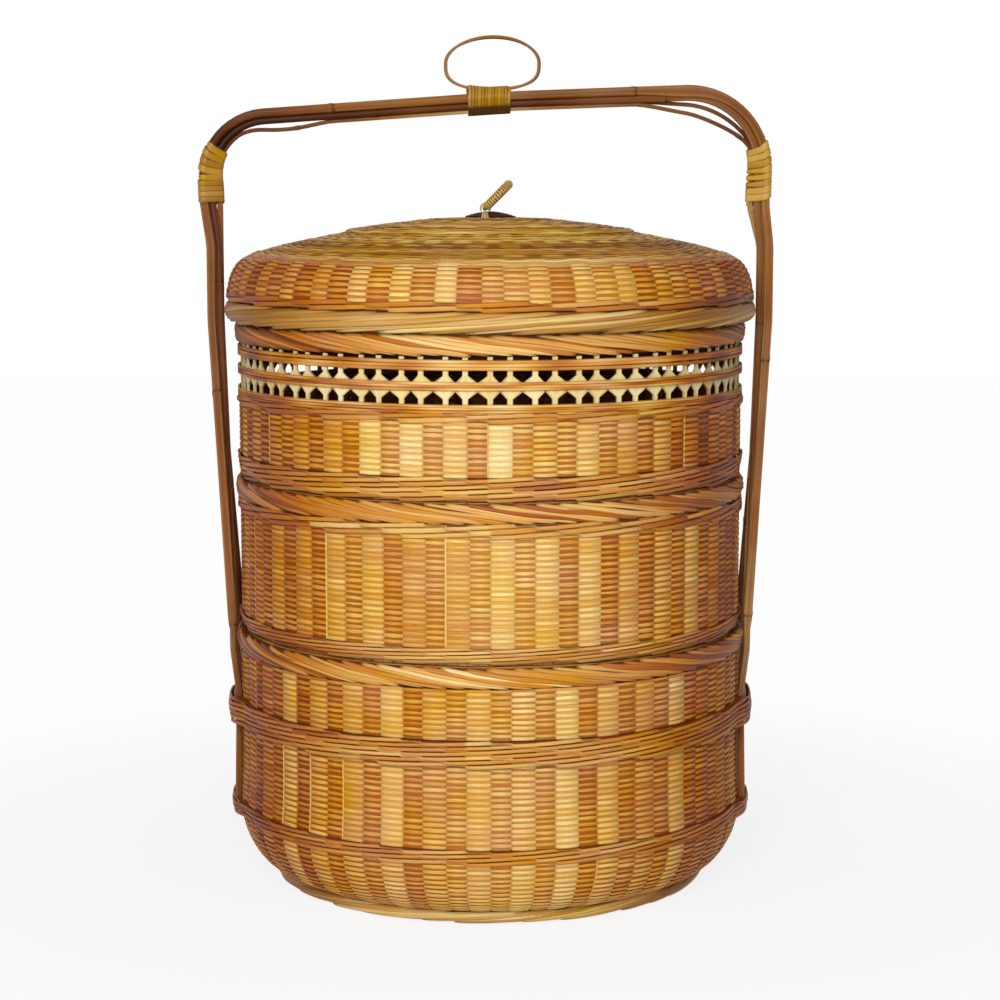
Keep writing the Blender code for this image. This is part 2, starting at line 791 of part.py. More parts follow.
def cane_centre(cane, distance):
    place, _, outward = arch_at(distance)
    bound = (post_distance(shoulder_height, -1), post_distance(shoulder_height, 1))
    if cane != "short" and not bound[0] <= distance <= bound[1]:
        side = -1 if distance < bound[0] else 1
        across, beside = post_offsets(cane, place.z, side)
        return Vector((side * across, beside, place.z))
    share, side_share = cane_bundle_shares[cane]
    sideways = Vector((0.0, side_share * cane_pitch, 0.0))
    return place + outward * (share * cane_pitch - stray(cane, distance)) + sideways


# Distances along the arch at which the canes have a section: at each level that bends them, and on the arcs
def cane_stations():
    waist_top = waist_band_height + waist_band_width
    levels = [cane_foot_height, waist_band_height, waist_top, base_wall_top - seat_gap, base_top + seat_gap,
              (base_top + lower_tray_top) / 2, lower_tray_top, lattice_bottom, lid_bottom - seat_gap,
              lid_wall_bottom + lift_room, shoulder_height]
    left = [post_distance(level, -1) for level in levels]
    right = [post_distance(level, 1) for level in reversed(levels)]
    return left + bend_stations() + right


# Distances at even steps round both corners and along the crossbar between them
def bend_stations():
    ends = np.cumsum([piece[0] for piece in arch])
    bends = [(ends[0], ends[1], corner_steps), (ends[1], ends[4], crossbar_steps),
             (ends[4], ends[5], corner_steps)]
    distances = []
    for start, end, steps in bends:
        distances += [float(start + (end - start) * step / steps) for step in range(steps)]
    return distances + [float(ends[5])]


def cane_sections(cane, stations):
    sides = cane_sides if cane in ("front", "back") else thin_cane_sides
    size = cane_size(cane)
    centres = [cane_centre(cane, distance) for distance in stations]
    sections = []
    for index, distance in enumerate(stations):
        ahead = centres[min(index + 1, len(centres) - 1)] - centres[max(index - 1, 0)]
        place, _, outward = arch_at(distance)
        beside = ahead.cross(outward).normalized()
        out = beside.cross(ahead).normalized()
        thickness = size
        if place.z < lower_tray_bottom + seat_gap:
            thickness = min(size, cane_foot_thickness)
            radial = Vector((centres[index].x, centres[index].y, 0.0)).normalized()
            beside = Vector((-radial.y, radial.x, 0.0))
            out = radial
        sections.append(round_section(centres[index], out, beside, thickness, size, sides))
    return sections


def build_canes(materials, parent):
    stations = cane_stations()
    for cane in cane_foot_angles:
        bm = skin(cane_sections(cane, stations), closed=False)
        finish_object("handle_" + cane + "_cane", bm, materials["brown_cane"], parent)
    middle = crossbar_distance(short_cane_start)
    end = post_distance(shoulder_height, 1) + seat_gap
    short = [middle + (end - middle) * step / short_cane_steps for step in range(short_cane_steps + 1)]
    bm = skin(cane_sections("short", short), closed=False)
    finish_object("handle_short_cane", bm, materials["brown_cane"], parent)


# Distance along the arch at which its crossbar reaches a given X
def crossbar_distance(x):
    low, high = 0.0, arch_length
    for _ in range(search_rounds):
        middle = (low + high) / 2
        if arch_at(middle)[0].x < x:
            low = middle
        else:
            high = middle
    return low


# Circles (outward, beside, radius) that a binding has to pass round at a distance along the arch
def bound_circles(distance):
    place, _, outward = arch_at(distance)
    circles = []
    canes = list(cane_foot_angles)
    if distance > crossbar_distance(short_cane_start):
        canes.append("short")
    for cane in canes:
        centre = cane_centre(cane, distance) - place
        circles.append((centre.dot(outward), centre.y, cane_size(cane) / 2))
    if abs(place.x - grip_offset) < grip_turns * grip_pitch:
        beside = (grip_strip_width / 2, -grip_strip_width / 2)
        rises = [(loop_centre_line(place.x + reach) - place).dot(outward) for reach in beside]
        top = max(rises) + loop_strip_thickness / 2
        circles += [(top, -loop_strip_width / 2, 0.0), (top, loop_strip_width / 2, 0.0)]
    return circles


# A flat strip of cane wound round the bundle, with its corners on the hull of the canes
def build_binding(name, start, turns, pitch, width, materials, parent):
    count = turns * turn_points
    path = []
    for index in range(count + 1):
        distance = start + pitch * index / turn_points
        place, along, outward = arch_at(distance)
        angle = 2 * math.pi * index / turn_points
        heading = (math.cos(angle), math.sin(angle))
        far = max(bound_circles(distance),
                  key=lambda circle: circle[0] * heading[0] + circle[1] * heading[1] + circle[2])
        reach = far[2] + binding_gap + strip_thickness / 2
        across = outward * heading[0] + Vector((0.0, heading[1], 0.0))
        centre = place + outward * far[0] + Vector((0.0, far[1], 0.0)) + across * reach
        path.append((centre, across, along))
    sections = []
    for centre, across, along in path:
        half_width = along * (width / 2)
        half_depth = across * (strip_thickness / 2)
        sections.append([centre + half_width + half_depth, centre + half_width - half_depth,
                         centre - half_width - half_depth, centre - half_width + half_depth])
    print_least_gap(name, sections, turn_points)
    finish_object(name, skin(sections, closed=False), materials["golden_cane"], parent)


def build_bindings(materials, parent):
    length = shoulder_turns * shoulder_pitch
    build_binding("left_shoulder_binding", post_distance(shoulder_height, -1), shoulder_turns,
                  shoulder_pitch, shoulder_strip_width, materials, parent)
    build_binding("right_shoulder_binding", post_distance(shoulder_height, 1) - length, shoulder_turns,
                  shoulder_pitch, shoulder_strip_width, materials, parent)
    grip_start = crossbar_distance(grip_offset) - grip_turns * grip_pitch / 2
    build_binding("grip_binding", grip_start, grip_turns, grip_pitch, grip_strip_width, materials, parent)


# Lowest level at which the loop's strip clears the canes at an X
def loop_seat_level(x):
    place, _, outward = arch_at(crossbar_distance(x))
    top = cane_bundle_shares["front"][0] * cane_pitch + cane_width / 2
    return (place + outward * (top + seat_gap + loop_strip_thickness / 2)).z


def loop_point(angle):
    half_height = loop_height / 2
    centre_level = loop_seat_level(loop_offset) + half_height
    x = loop_offset + loop_half_width * math.cos(angle)
    rise = math.sin(angle)
    if rise < 0:
        rise = -((-rise) ** loop_foot_share)
    level = centre_level + half_height * rise
    if rise < 0 and abs(x - loop_offset) < loop_half_width / 2:
        level = max(level, loop_seat_level(x))
    return Vector((x, 0.0, level))


def loop_centre_line(x):
    share = min(1.0, max(-1.0, (x - loop_offset) / loop_half_width))
    return loop_point(-math.acos(share))


# The hanging loop is one bent strip whose ends lie on the canes under the grip binding
def build_hanging_loop(materials, parent):
    first = -math.pi / 2 + loop_end_share * math.pi / 2
    sweep = 2 * math.pi - 2 * loop_end_share * math.pi / 2
    path = [loop_point(first + sweep * step / loop_steps) for step in range(loop_steps + 1)]
    sections = []
    for index, centre in enumerate(path):
        ahead = (path[min(index + 1, loop_steps)] - path[max(index - 1, 0)]).normalized()
        outward = Vector((ahead.z, 0.0, -ahead.x)) * (loop_strip_thickness / 2)
        beside = Vector((0.0, loop_strip_width / 2, 0.0))
        sections.append([centre + outward + beside, centre + outward - beside,
                         centre - outward - beside, centre - outward + beside])
    finish_object("hanging_loop", skin(sections, closed=False), materials["brown_cane"], parent)


def build_basket():
    clear_scene()
    materials = {name: make_material(name) for name in colours}
    base = make_empty("base", (0.0, 0.0, 0.0))
    lower_tray = make_empty("lower_tray", (0.0, 0.0, lower_tray_bottom), base)
    upper_tray = make_empty("upper_tray", (0.0, 0.0, upper_tray_bottom - lower_tray_bottom), lower_tray)
    lid = make_empty("lid", (0.0, 0.0, lid_bottom - upper_tray_bottom), upper_tray)
    knob = make_empty("knob", (knob_offset, 0.0, knob_pivot_level - lid_bottom), lid, knob_lean)
    bpy.context.view_layer.update()
    build_base(materials, base)
    build_canes(materials, base)
    build_bindings(materials, base)
    build_hanging_loop(materials, base)
    build_lower_tray(materials, lower_tray)
    build_upper_tray(materials, upper_tray)
    build_lid(materials, lid)
    build_knob_ring(materials, knob)


build_basket()
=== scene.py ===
import math
from functools import partial

import bpy
import numpy as np
from mathutils import Matrix, Vector


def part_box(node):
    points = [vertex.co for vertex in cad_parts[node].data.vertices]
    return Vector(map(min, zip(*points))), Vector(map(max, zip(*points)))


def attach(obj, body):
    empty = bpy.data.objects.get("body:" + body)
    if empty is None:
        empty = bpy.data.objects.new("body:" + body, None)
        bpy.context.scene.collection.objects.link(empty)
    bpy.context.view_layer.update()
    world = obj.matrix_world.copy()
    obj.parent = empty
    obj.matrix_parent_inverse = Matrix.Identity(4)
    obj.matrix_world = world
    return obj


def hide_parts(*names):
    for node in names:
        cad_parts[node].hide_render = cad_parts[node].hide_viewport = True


# Tiered bamboo food basket. Metres, Z up, seen from -Y. Every split, stake and cane is its own strand.
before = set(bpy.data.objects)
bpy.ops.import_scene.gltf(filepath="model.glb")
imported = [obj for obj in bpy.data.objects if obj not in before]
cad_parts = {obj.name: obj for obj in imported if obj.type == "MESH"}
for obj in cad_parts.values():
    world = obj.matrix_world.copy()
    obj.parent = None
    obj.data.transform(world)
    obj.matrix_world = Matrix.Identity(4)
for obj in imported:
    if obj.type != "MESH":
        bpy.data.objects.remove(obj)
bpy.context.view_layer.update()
print("frame loaded")


# ---------- colours, nodes and materials

def toLinear(hexCode):
    channels = [int(hexCode[place:place + 2], 16) / 255 for place in (1, 3, 5)]
    linear = [c / 12.92 if c <= 0.04045 else ((c + 0.055) / 1.055) ** 2.4 for c in channels]
    return (*linear, 1.0)


# A link comes from a socket, or from a node's first output where only the node is given
def setNode(node, settings, links):
    for name, value in settings.items():
        if isinstance(name, str) and hasattr(node, name):
            setattr(node, name, value)
        else:
            node.inputs[name].default_value = value
    for name, source in links.items():
        socket = source.outputs[0] if isinstance(source, bpy.types.Node) else source
        node.id_data.links.new(socket, node.inputs[name])
    return node


def addNode(tree, kind, settings, links):
    return setNode(tree.nodes.new("ShaderNode" + kind), settings, links)


def newMaterial(name):
    material = bpy.data.materials.new(name)
    material.use_nodes = True
    tree = material.node_tree
    return material, partial(addNode, tree), tree.nodes["Principled BSDF"]


def fillRamp(ramp, stops):
    elements = ramp.color_ramp.elements
    while len(elements) < len(stops):
        elements.new(0.5)
    for element, (place, hexCode) in zip(elements, stops):
        element.position = place
        element.color = toLinear(hexCode)


# Split bamboo: the strand's own attributes carry the grain along it, a tone of its own, and painted shade where it
# tucks in or dips under, with the dark rings at cane nodes
def makeSplit(finish):
    material, add, shader = newMaterial(finish["name"])
    read = {name: add("Attribute", {"attribute_name": name}, {}).outputs["Fac"]
            for name in ("along", "across", "tone", "tuck", "seed")}
    lengthways = add("Math", {"operation": "MULTIPLY", 1: finish["alongScale"]}, {0: read["along"]})
    sideways = add("Math", {"operation": "MULTIPLY", 1: finish["acrossScale"]}, {0: read["across"]})
    own = add("Math", {"operation": "MULTIPLY", 1: finish["seedStep"]}, {0: read["seed"]})
    spot = add("CombineXYZ", {}, {0: lengthways, 1: sideways, 2: own})
    fibre = add("TexNoise", {"Scale": 1.0, "Detail": 4.0, "Roughness": 0.62}, {"Vector": spot})
    place = add("TexCoord", {}, {}).outputs["Object"]
    blotch = add("TexNoise", {"Scale": finish["blotchScale"], "Detail": 2.0}, {"Vector": place})
    streak = add("Math", {"operation": "MULTIPLY_ADD", 1: finish["streak"], 2: -finish["streak"] / 2}, {0: fibre})
    patch = add("Math", {"operation": "MULTIPLY_ADD", 1: finish["blotch"], 2: -finish["blotch"] / 2}, {0: blotch})
    toned = add("Math", {"operation": "ADD"}, {0: read["tone"], 1: streak})
    mixed = add("Math", {"operation": "ADD"}, {0: toned, 1: patch})
    ramp = add("ValToRGB", {}, {"Fac": mixed})
    fillRamp(ramp, finish["stops"])
    tint = add("TexNoise", {"Scale": finish["tintScale"], "Detail": 3.0}, {"Vector": place})
    hue = add("MapRange", {"From Min": 0.3, "From Max": 0.7, "To Min": 0.5 - finish["tint"],
                           "To Max": 0.5 + finish["tint"]}, {"Value": tint})
    strength = add("MapRange", {"From Min": 0.3, "From Max": 0.7, "To Min": 0.93, "To Max": 1.07}, {"Value": tint})
    tinted = add("HueSaturation", {}, {"Hue": hue, "Saturation": strength, "Color": ramp})
    # Edges darker: wear on the cut edges and painted shade where strands meet
    edge = add("Math", {"operation": "ABSOLUTE"}, {0: read["across"]})
    ragged = add("Math", {"operation": "MULTIPLY_ADD", 1: 0.9, 2: -0.45}, {0: fibre})
    broken = add("Math", {"operation": "ADD"}, {0: edge, 1: ragged})
    wornAndShaded = add("MapRange", {"From Min": finish["edgeFrom"], "From Max": 1.0, "To Min": 0.0,
                            "To Max": finish["edgeDark"]}, {"Value": broken})
    # Painted shade along the middle crease of each strand
    creaseShade = add("MapRange", {"From Min": 0.0, "From Max": 0.2, "To Min": finish["creaseShade"], "To Max": 0.0},
                 {"Value": broken})
    lines = add("Math", {"operation": "MAXIMUM"}, {0: wornAndShaded, 1: creaseShade})
    fade = add("MapRange", {"From Min": 0.55, "From Max": 0.95, "To Min": 1.0, "To Max": finish["paleEdge"]},
               {"Value": read["tone"]})
    faded = add("Math", {"operation": "MULTIPLY"}, {0: lines, 1: fade})
    # Painted shade, node rings, edge and crease lines darken the colour towards one dark shade colour
    shadeAndMarks = add("Math", {"operation": "MAXIMUM"}, {0: faded, 1: read["tuck"]})
    colour = add("Mix", {"data_type": "RGBA", "blend_type": "MIX", 7: toLinear(finish["shadeAndMarks"])},
                 {0: shadeAndMarks, 6: tinted})
    rough = add("MapRange", {"To Min": finish["roughness"][0], "To Max": finish["roughness"][1]}, {"Value": fibre})
    bump = add("Bump", {"Strength": finish["bump"], "Distance": 0.0003}, {"Height": fibre})
    setNode(shader, {"IOR": 1.5, "Specular IOR Level": finish["specular"], "Coat Weight": finish["coat"],
                     "Coat Roughness": 0.3},
            {"Base Color": colour.outputs[2], "Roughness": rough, "Normal": bump})
    return material


# Grain runs 20 to 60 mm along a split and a few tenths of a millimetre across it
everySplit = {"seedStep": 97.0, "tint": 0.004, "tintScale": 26.0, "creaseShade": 0.2, "paleEdge": 0.5, "coat": 0.0,
              "blotch": 0.30, "edgeFrom": 0.6, "edgeDark": 0.6, "bump": 0.25, "acrossScale": 1.8}
finishes = {
    # scraped inner bamboo and skin in one weave: from red-brown skin through honey to straw
    "weft": {"name": "Oiled split bamboo weft", "creaseShade": 0.25, "alongScale": 75.0, "streak": 0.42, "blotch": 0.40,
             "blotchScale": 14.0, "edgeDark": 0.5, "shadeAndMarks": "#6e3006", "roughness": (0.42, 0.58), "specular": 0.16,
             "stops": [(0.0, "#752f07"), (0.22, "#aa5511"), (0.48, "#cf8c38"), (0.72, "#e1b360"), (1.0, "#f2dc98")]},
    # flat stakes behind the wefts, duller and browner
    "stake": {"name": "Split bamboo stake", "creaseShade": 0.15, "alongScale": 30.0, "acrossScale": 9.0, "streak": 0.30,
              "blotch": 0.25, "blotchScale": 16.0, "edgeFrom": 0.88, "edgeDark": 0.5, "shadeAndMarks": "#6a310b",
              "roughness": (0.46, 0.62), "bump": 0.2, "specular": 0.14,
              "stops": [(0.0, "#5f2806"), (0.25, "#97490d"), (0.5, "#bf7c2b"), (0.75, "#d9a44c"), (1.0, "#ebca7c")]},
    # long splits with their shiny skin, laid over the rims and twined in the bands
    "rim": {"name": "Polished bamboo skin splits", "tintScale": 22.0, "alongScale": 34.0, "streak": 0.34,
            "blotchScale": 11.0, "edgeFrom": 0.55, "shadeAndMarks": "#552405", "roughness": (0.38, 0.54), "bump": 0.3,
            "specular": 0.2,
            "stops": [(0.0, "#6c2c06"), (0.25, "#a65410"), (0.5, "#c98634"), (0.75, "#deb064"), (1.0, "#f0d69c")]},
    # pale yellow inner bamboo of the lattice and the lid's rim, with a soft gloss
    "pale": {"name": "Pale inner bamboo", "tintScale": 20.0, "creaseShade": 0.1, "alongScale": 40.0, "acrossScale": 2.2,
             "streak": 0.32, "blotchScale": 15.0, "edgeDark": 0.7, "shadeAndMarks": "#6b3f10", "roughness": (0.42, 0.58),
             "coat": 0.04, "specular": 0.25,
             "stops": [(0.0, "#8f5a18"), (0.3, "#bb8a3c"), (0.6, "#d9bc74"), (1.0, "#f3e7bf")]},
    # fine rounds on the crown, olive-yellow with brown between them
    "crown": {"name": "Fine crown splits", "tintScale": 18.0, "alongScale": 36.0, "acrossScale": 1.4, "streak": 0.50,
              "blotch": 0.55, "blotchScale": 9.0, "edgeFrom": 0.4, "edgeDark": 0.85, "shadeAndMarks": "#5c2f07",
              "roughness": (0.46, 0.60), "bump": 0.3, "specular": 0.06,
              "stops": [(0.0, "#83480c"), (0.3, "#b8781e"), (0.6, "#d8a23c"), (1.0, "#f0cb72")]},
    # cane with its glossy skin on, red-brown with paler streaks
    "cane": {"name": "Glossy brown cane", "tintScale": 16.0, "creaseShade": 0.0, "alongScale": 11.0, "acrossScale": 4.5,
             "streak": 1.0, "blotch": 0.50, "blotchScale": 12.0, "edgeFrom": 0.8, "shadeAndMarks": "#2b120a",
             "roughness": (0.40, 0.56), "bump": 0.2, "specular": 0.13,
             "stops": [(0.0, "#200c05"), (0.28, "#54250d"), (0.52, "#8f5524"), (0.76, "#bf935c"), (1.0, "#e4c9a2")]},
    # flat golden strips wound round the canes, shiny at the turns
    "binding": {"name": "Golden flat cane", "tintScale": 60.0, "creaseShade": 0.1, "alongScale": 40.0, "acrossScale": 2.4,
                "streak": 0.30, "blotchScale": 40.0, "edgeFrom": 0.62, "edgeDark": 0.75, "shadeAndMarks": "#3f250a",
                "roughness": (0.40, 0.54), "coat": 0.05, "specular": 0.28,
                "stops": [(0.0, "#6e4511"), (0.35, "#98691a"), (0.65, "#ba8a2c"), (1.0, "#ddb95e")]},
    # smoke-darkened cane of the knob's button, nearly black and matt
    "smoked": {"name": "Smoked dark cane", "tintScale": 40.0, "creaseShade": 0.0, "alongScale": 30.0, "acrossScale": 2.0,
               "streak": 0.5, "blotch": 0.2, "blotchScale": 20.0, "edgeFrom": 0.5, "shadeAndMarks": "#120a06",
               "roughness": (0.50, 0.65), "specular": 0.06,
               "stops": [(0.0, "#1a0b04"), (0.5, "#3a1d0b"), (1.0, "#6b4020")]},
}
splits = {key: makeSplit({**everySplit, **finish}) for key, finish in finishes.items()}


# Woven floors: flat splits 6 mm wide, over one and under one, from the object's own coordinates
def makeWovenFloor(cell=0.0062):
    material, add, shader = newMaterial("Plaited floor splits")
    place = add("TexCoord", {}, {})
    scaled = add("VectorMath", {"operation": "SCALE", "Scale": 1.0 / cell}, {0: place.outputs["Object"]})
    runs = add("SeparateXYZ", {}, {0: scaled}).outputs
    whole, centred = [], []
    for run in (runs[0], runs[1]):
        whole.append(add("Math", {"operation": "FLOOR"}, {0: run}))
        rest = add("Math", {"operation": "FRACT"}, {0: run})
        centred.append(add("Math", {"operation": "SUBTRACT", 1: 0.5}, {0: rest}))
    summed = add("Math", {"operation": "ADD"}, {0: whole[0], 1: whole[1]})
    halved = add("Math", {"operation": "MULTIPLY", 1: 0.5}, {0: summed})
    parity = add("Math", {"operation": "FRACT"}, {0: halved})
    odd = add("Math", {"operation": "GREATER_THAN", 1: 0.25}, {0: parity})
    across = add("Mix", {}, {0: odd, 2: centred[0], 3: centred[1]})
    row = add("Mix", {}, {0: odd, 2: whole[0], 3: whole[1]})
    run = add("Mix", {}, {0: odd, 2: runs[1], 3: runs[0]})
    spot = add("CombineXYZ", {}, {0: run, 1: row})
    stretched = add("Mapping", {"Scale": (0.15, 9.7, 1.0)}, {0: spot})
    grain = add("TexNoise", {"Scale": 1.0, "Detail": 3.0}, {"Vector": stretched})
    edge = add("Math", {"operation": "ABSOLUTE"}, {0: across})
    # The gaps between the splits are darkened as painted shade
    gap = add("MapRange", {"From Min": 0.38, "From Max": 0.5}, {"Value": edge})
    ramp = add("ValToRGB", {}, {"Fac": grain})
    fillRamp(ramp, [(0.25, "#9a6426"), (0.5, "#c08b40"), (0.8, "#dcb46a")])
    colour = add("Mix", {"data_type": "RGBA", 7: toLinear("#4a2a10")}, {0: gap, 6: ramp})
    height = add("Math", {"operation": "SUBTRACT"}, {0: grain, 1: gap})
    bump = add("Bump", {"Strength": 0.6, "Distance": 0.0008}, {"Height": height})
    setNode(shader, {"Roughness": 0.55}, {"Base Color": colour.outputs[2], "Normal": bump})
    return material


# Bent split hoops: the grain follows the hoop round the Z axis
def makeHoop():
    material, add, shader = newMaterial("Bent bamboo hoop")
    place = add("TexCoord", {}, {}).outputs["Object"]
    axes = add("SeparateXYZ", {}, {0: place}).outputs
    angle = add("Math", {"operation": "ARCTAN2"}, {0: axes[1], 1: axes[0]})
    radius = add("VectorMath", {"operation": "LENGTH"}, {0: place})
    spot = add("CombineXYZ", {}, {0: angle, 1: axes[2], 2: radius.outputs["Value"]})
    stretched = add("Mapping", {"Scale": (5.0, 900.0, 60.0)}, {0: spot})
    grain = add("TexNoise", {"Scale": 1.0, "Detail": 4.0}, {"Vector": stretched})
    ramp = add("ValToRGB", {}, {"Fac": grain})
    fillRamp(ramp, [(0.2, "#7d4517"), (0.5, "#ad7027"), (0.85, "#d0a052")])
    bump = add("Bump", {"Strength": 0.3, "Distance": 0.0004}, {"Height": grain})
    setNode(shader, {"Roughness": 0.48}, {"Base Color": ramp, "Normal": bump})
    return material


wovenFloor = makeWovenFloor()
hoopWood = makeHoop()
print("materials made")


# ---------- strands

# Cross-sections of a strand: shares of half its width and half its depth
sections = {
    "flat": [(1.0, 0.0), (0.66, 0.94), (-0.66, 0.94), (-1.0, 0.0), (-0.66, -0.94), (0.66, -0.94)],
    "box": [(1.0, -1.0), (1.0, 1.0), (-1.0, 1.0), (-1.0, -1.0)],
    "strip": [(1.0, -1.0), (1.0, 0.5), (0.55, 1.0), (-0.55, 1.0), (-1.0, 0.5), (-1.0, -1.0)],
    "creased": [(1.0, -1.0), (1.0, 0.6), (0.5, 1.0), (0.0, 0.1), (-0.5, 1.0), (-1.0, 0.6), (-1.0, -1.0)],
    "round": [(math.cos(math.pi * side / 5), math.sin(math.pi * side / 5)) for side in range(10)],
    "small": [(math.cos(math.pi * side / 3), math.sin(math.pi * side / 3)) for side in range(6)],
}
everyBundle = {"closed": False, "section": "flat", "ahead": None, "tuck": 0.0}
fullTurn = 2 * math.pi
straightOut = np.array([1.0, 0.0])  # the (radius, level) normal of an upright wall


# Joins strands into one mesh. Each bundle holds arrays of strands by stations: centre, out, width, depth, tone, and
# the painted shade with the node rings
def strandMesh(name, bundles, material, seed):
    rng = np.random.default_rng(seed)
    points, faces, values = [], [], {key: [] for key in ("along", "across", "tone", "tuck", "seed")}
    start = 0
    for bundle in bundles:
        bundle = {**everyBundle, **bundle}
        centre = np.asarray(bundle["centre"], float)
        closed = bundle["closed"]
        section = np.array(sections[bundle["section"]])
        if bundle["ahead"]:
            ahead = np.broadcast_to(np.array(bundle["ahead"], float), centre.shape).copy()
        elif closed:
            ahead = np.roll(centre, -1, 1) - np.roll(centre, 1, 1)
        else:
            ahead = np.gradient(centre, axis=1)
        ahead /= np.linalg.norm(ahead, axis=2, keepdims=True)
        side = np.cross(ahead, bundle["out"])
        side /= np.linalg.norm(side, axis=2, keepdims=True)
        out = np.cross(side, ahead)
        strands, stations = shape = centre.shape[:2]
        full = (*shape, len(section))
        width = np.broadcast_to(bundle["width"], shape)[..., None, None] / 2
        depth = np.broadcast_to(bundle["depth"], shape)[..., None, None] / 2
        place = (centre[:, :, None] + side[:, :, None] * section[None, None, :, 0, None] * width
                 + out[:, :, None] * section[None, None, :, 1, None] * depth)
        points.append(place.reshape(-1, 3))
        step = np.linalg.norm(np.diff(centre, axis=1), axis=2)
        stationValues = {"along": np.concatenate([np.zeros((strands, 1)), np.cumsum(step, 1)], 1),
                         "tone": np.broadcast_to(bundle["tone"], shape), "seed": rng.random(strands)[:, None],
                         "tuck": np.broadcast_to(bundle["tuck"], shape)}
        for key, value in stationValues.items():
            values[key].append(np.broadcast_to(value[..., None], full).ravel())
        values["across"].append(np.broadcast_to(section[None, None, :, 0], full).ravel())
        number = start + np.arange(math.prod(full)).reshape(full)
        following = np.roll(number, -1, 1) if closed else number[:, 1:]
        here = number if closed else number[:, :-1]
        quads = np.stack([here, following, np.roll(following, -1, 2), np.roll(here, -1, 2)], -1)
        faces += quads.reshape(-1, 4).tolist()
        if not closed:
            faces += number[:, 0].tolist()
            faces += number[:, -1, ::-1].tolist()
        start += number.size
    mesh = bpy.data.meshes.new(name)
    mesh.from_pydata(np.concatenate(points), [], faces)
    for key, parts in values.items():
        attribute = mesh.attributes.new(key, "FLOAT", "POINT")
        attribute.data.foreach_set("value", np.concatenate(parts).astype(np.float32))
    mesh.shade_smooth()
    mesh.set_sharp_from_angle(angle=math.radians(75))
    mesh.materials.append(material)
    piece = bpy.data.objects.new(name, mesh)
    bpy.context.scene.collection.objects.link(piece)
    return piece


# Makes a piece from strands, hangs it on its body and hides the nodes that it stands for
def dressPiece(name, bundles, finish, seed, body, slotName, *nodes):
    piece = strandMesh(name, bundles, splits[finish], seed)
    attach(piece, body)
    if nodes:
        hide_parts(*nodes)


# Points at even steps along a (radius, level) profile, with outward normals; corners are softened first
def resampleProfile(points, pitch, count=None):
    points = np.array(points, float)
    for _ in range(3 if len(points) > 2 else 0):
        near = points[:-1] * 0.75 + points[1:] * 0.25
        far = points[:-1] * 0.25 + points[1:] * 0.75
        points = np.concatenate([points[:1], np.stack([near, far], 1).reshape(-1, 2)[1:-1], points[-1:]])
    runs = np.concatenate([[0.0], np.cumsum(np.linalg.norm(np.diff(points, axis=0), axis=1))])
    if count is None:
        count = max(1, round(runs[-1] / pitch))
        at = (np.arange(count) + 0.5) * runs[-1] / count
    else:
        at = np.linspace(0.0, runs[-1], count)
    reach = min(0.002, runs[-1] / 4)
    ahead = np.stack([np.interp(np.minimum(at + reach, runs[-1]), runs, points[:, axis])
                      - np.interp(np.maximum(at - reach, 0.0), runs, points[:, axis]) for axis in (0, 1)], 1)
    ahead /= np.linalg.norm(ahead, axis=1, keepdims=True)
    place = np.stack([np.interp(at, runs, points[:, axis]) for axis in (0, 1)], 1)
    return place, np.stack([ahead[:, 1], -ahead[:, 0]], 1)


# Turns radius, level, normal and angle arrays into points and outward directions in space
def spin(radius, level, normal, angles):
    centre = (radius * np.cos(angles), radius * np.sin(angles), level + 0 * angles)
    out = (normal[..., 0] * np.cos(angles), normal[..., 0] * np.sin(angles), normal[..., 1] + 0 * angles)
    return {"centre": np.stack(np.broadcast_arrays(*centre), -1), "out": np.stack(np.broadcast_arrays(*out), -1)}


def ringAngles(stations):
    return np.linspace(0, fullTurn, stations, endpoint=False)[None]


# Random places for waves to start, up to about a full turn
def leads(rng, shape=None):
    return rng.random(shape) * 6.3


# ---------- weave

weave = {"columns": 76, "weftPitch": 0.00172, "weftWidth": 0.00235, "weftDepth": 0.00085, "swing": 0.00084,
         "wave": 0.00035, "shiver": 0.00007, "slip": 0.0005, "unevenness": 0.00014, "depth": 0.00130,
         "stakeDepth": 0.0008, "stakeGap": 0.0006, "stakeSteps": 9, "thinWidth": 0.0012, "thinDepth": 0.0007,
         "thinProud": 0.0004}
pairPitch = 2 * fullTurn / weave["columns"]

# Painted light: the front is paler towards straw, as if lit from the front, the sides redder and the back a little
# darker, as if in shade; the angles are from the front
paintedFrontLight = {"front": 0.10, "sides": -0.26, "from": 20.0, "to": 62.0, "back": -0.08, "backFrom": 110.0, "backOver": 40.0}


def paintedFrontLightAt(angles):
    fromFront = np.abs(np.degrees(np.arctan2(np.cos(angles), -np.sin(angles))))
    share = np.clip((fromFront - paintedFrontLight["from"]) / (paintedFrontLight["to"] - paintedFrontLight["from"]), 0.0, 1.0)
    behind = np.clip((fromFront - paintedFrontLight["backFrom"]) / paintedFrontLight["backOver"], 0.0, 1.0)
    side = paintedFrontLight["sides"] + (paintedFrontLight["back"] - paintedFrontLight["sides"]) * behind
    return paintedFrontLight["front"] + (side - paintedFrontLight["front"]) * share * share * (3 - 2 * share)


# Three stations in each column; even columns are pale, and the phase is where one stands, from the front
def columnStations(piece):
    columns = np.repeat(np.arange(weave["columns"]), 3)
    wide = pairPitch * np.where(columns % 2 == 0, piece["paleShare"], 1 - piece["paleShare"])
    offsets = np.tile([-0.43, 0.0, 0.43], weave["columns"])
    shares = np.tile([0.86, 1.0, 0.86], weave["columns"])
    return math.radians(piece["phase"] - 90) + pairPitch * columns / 2 + offsets * wide, columns, shares


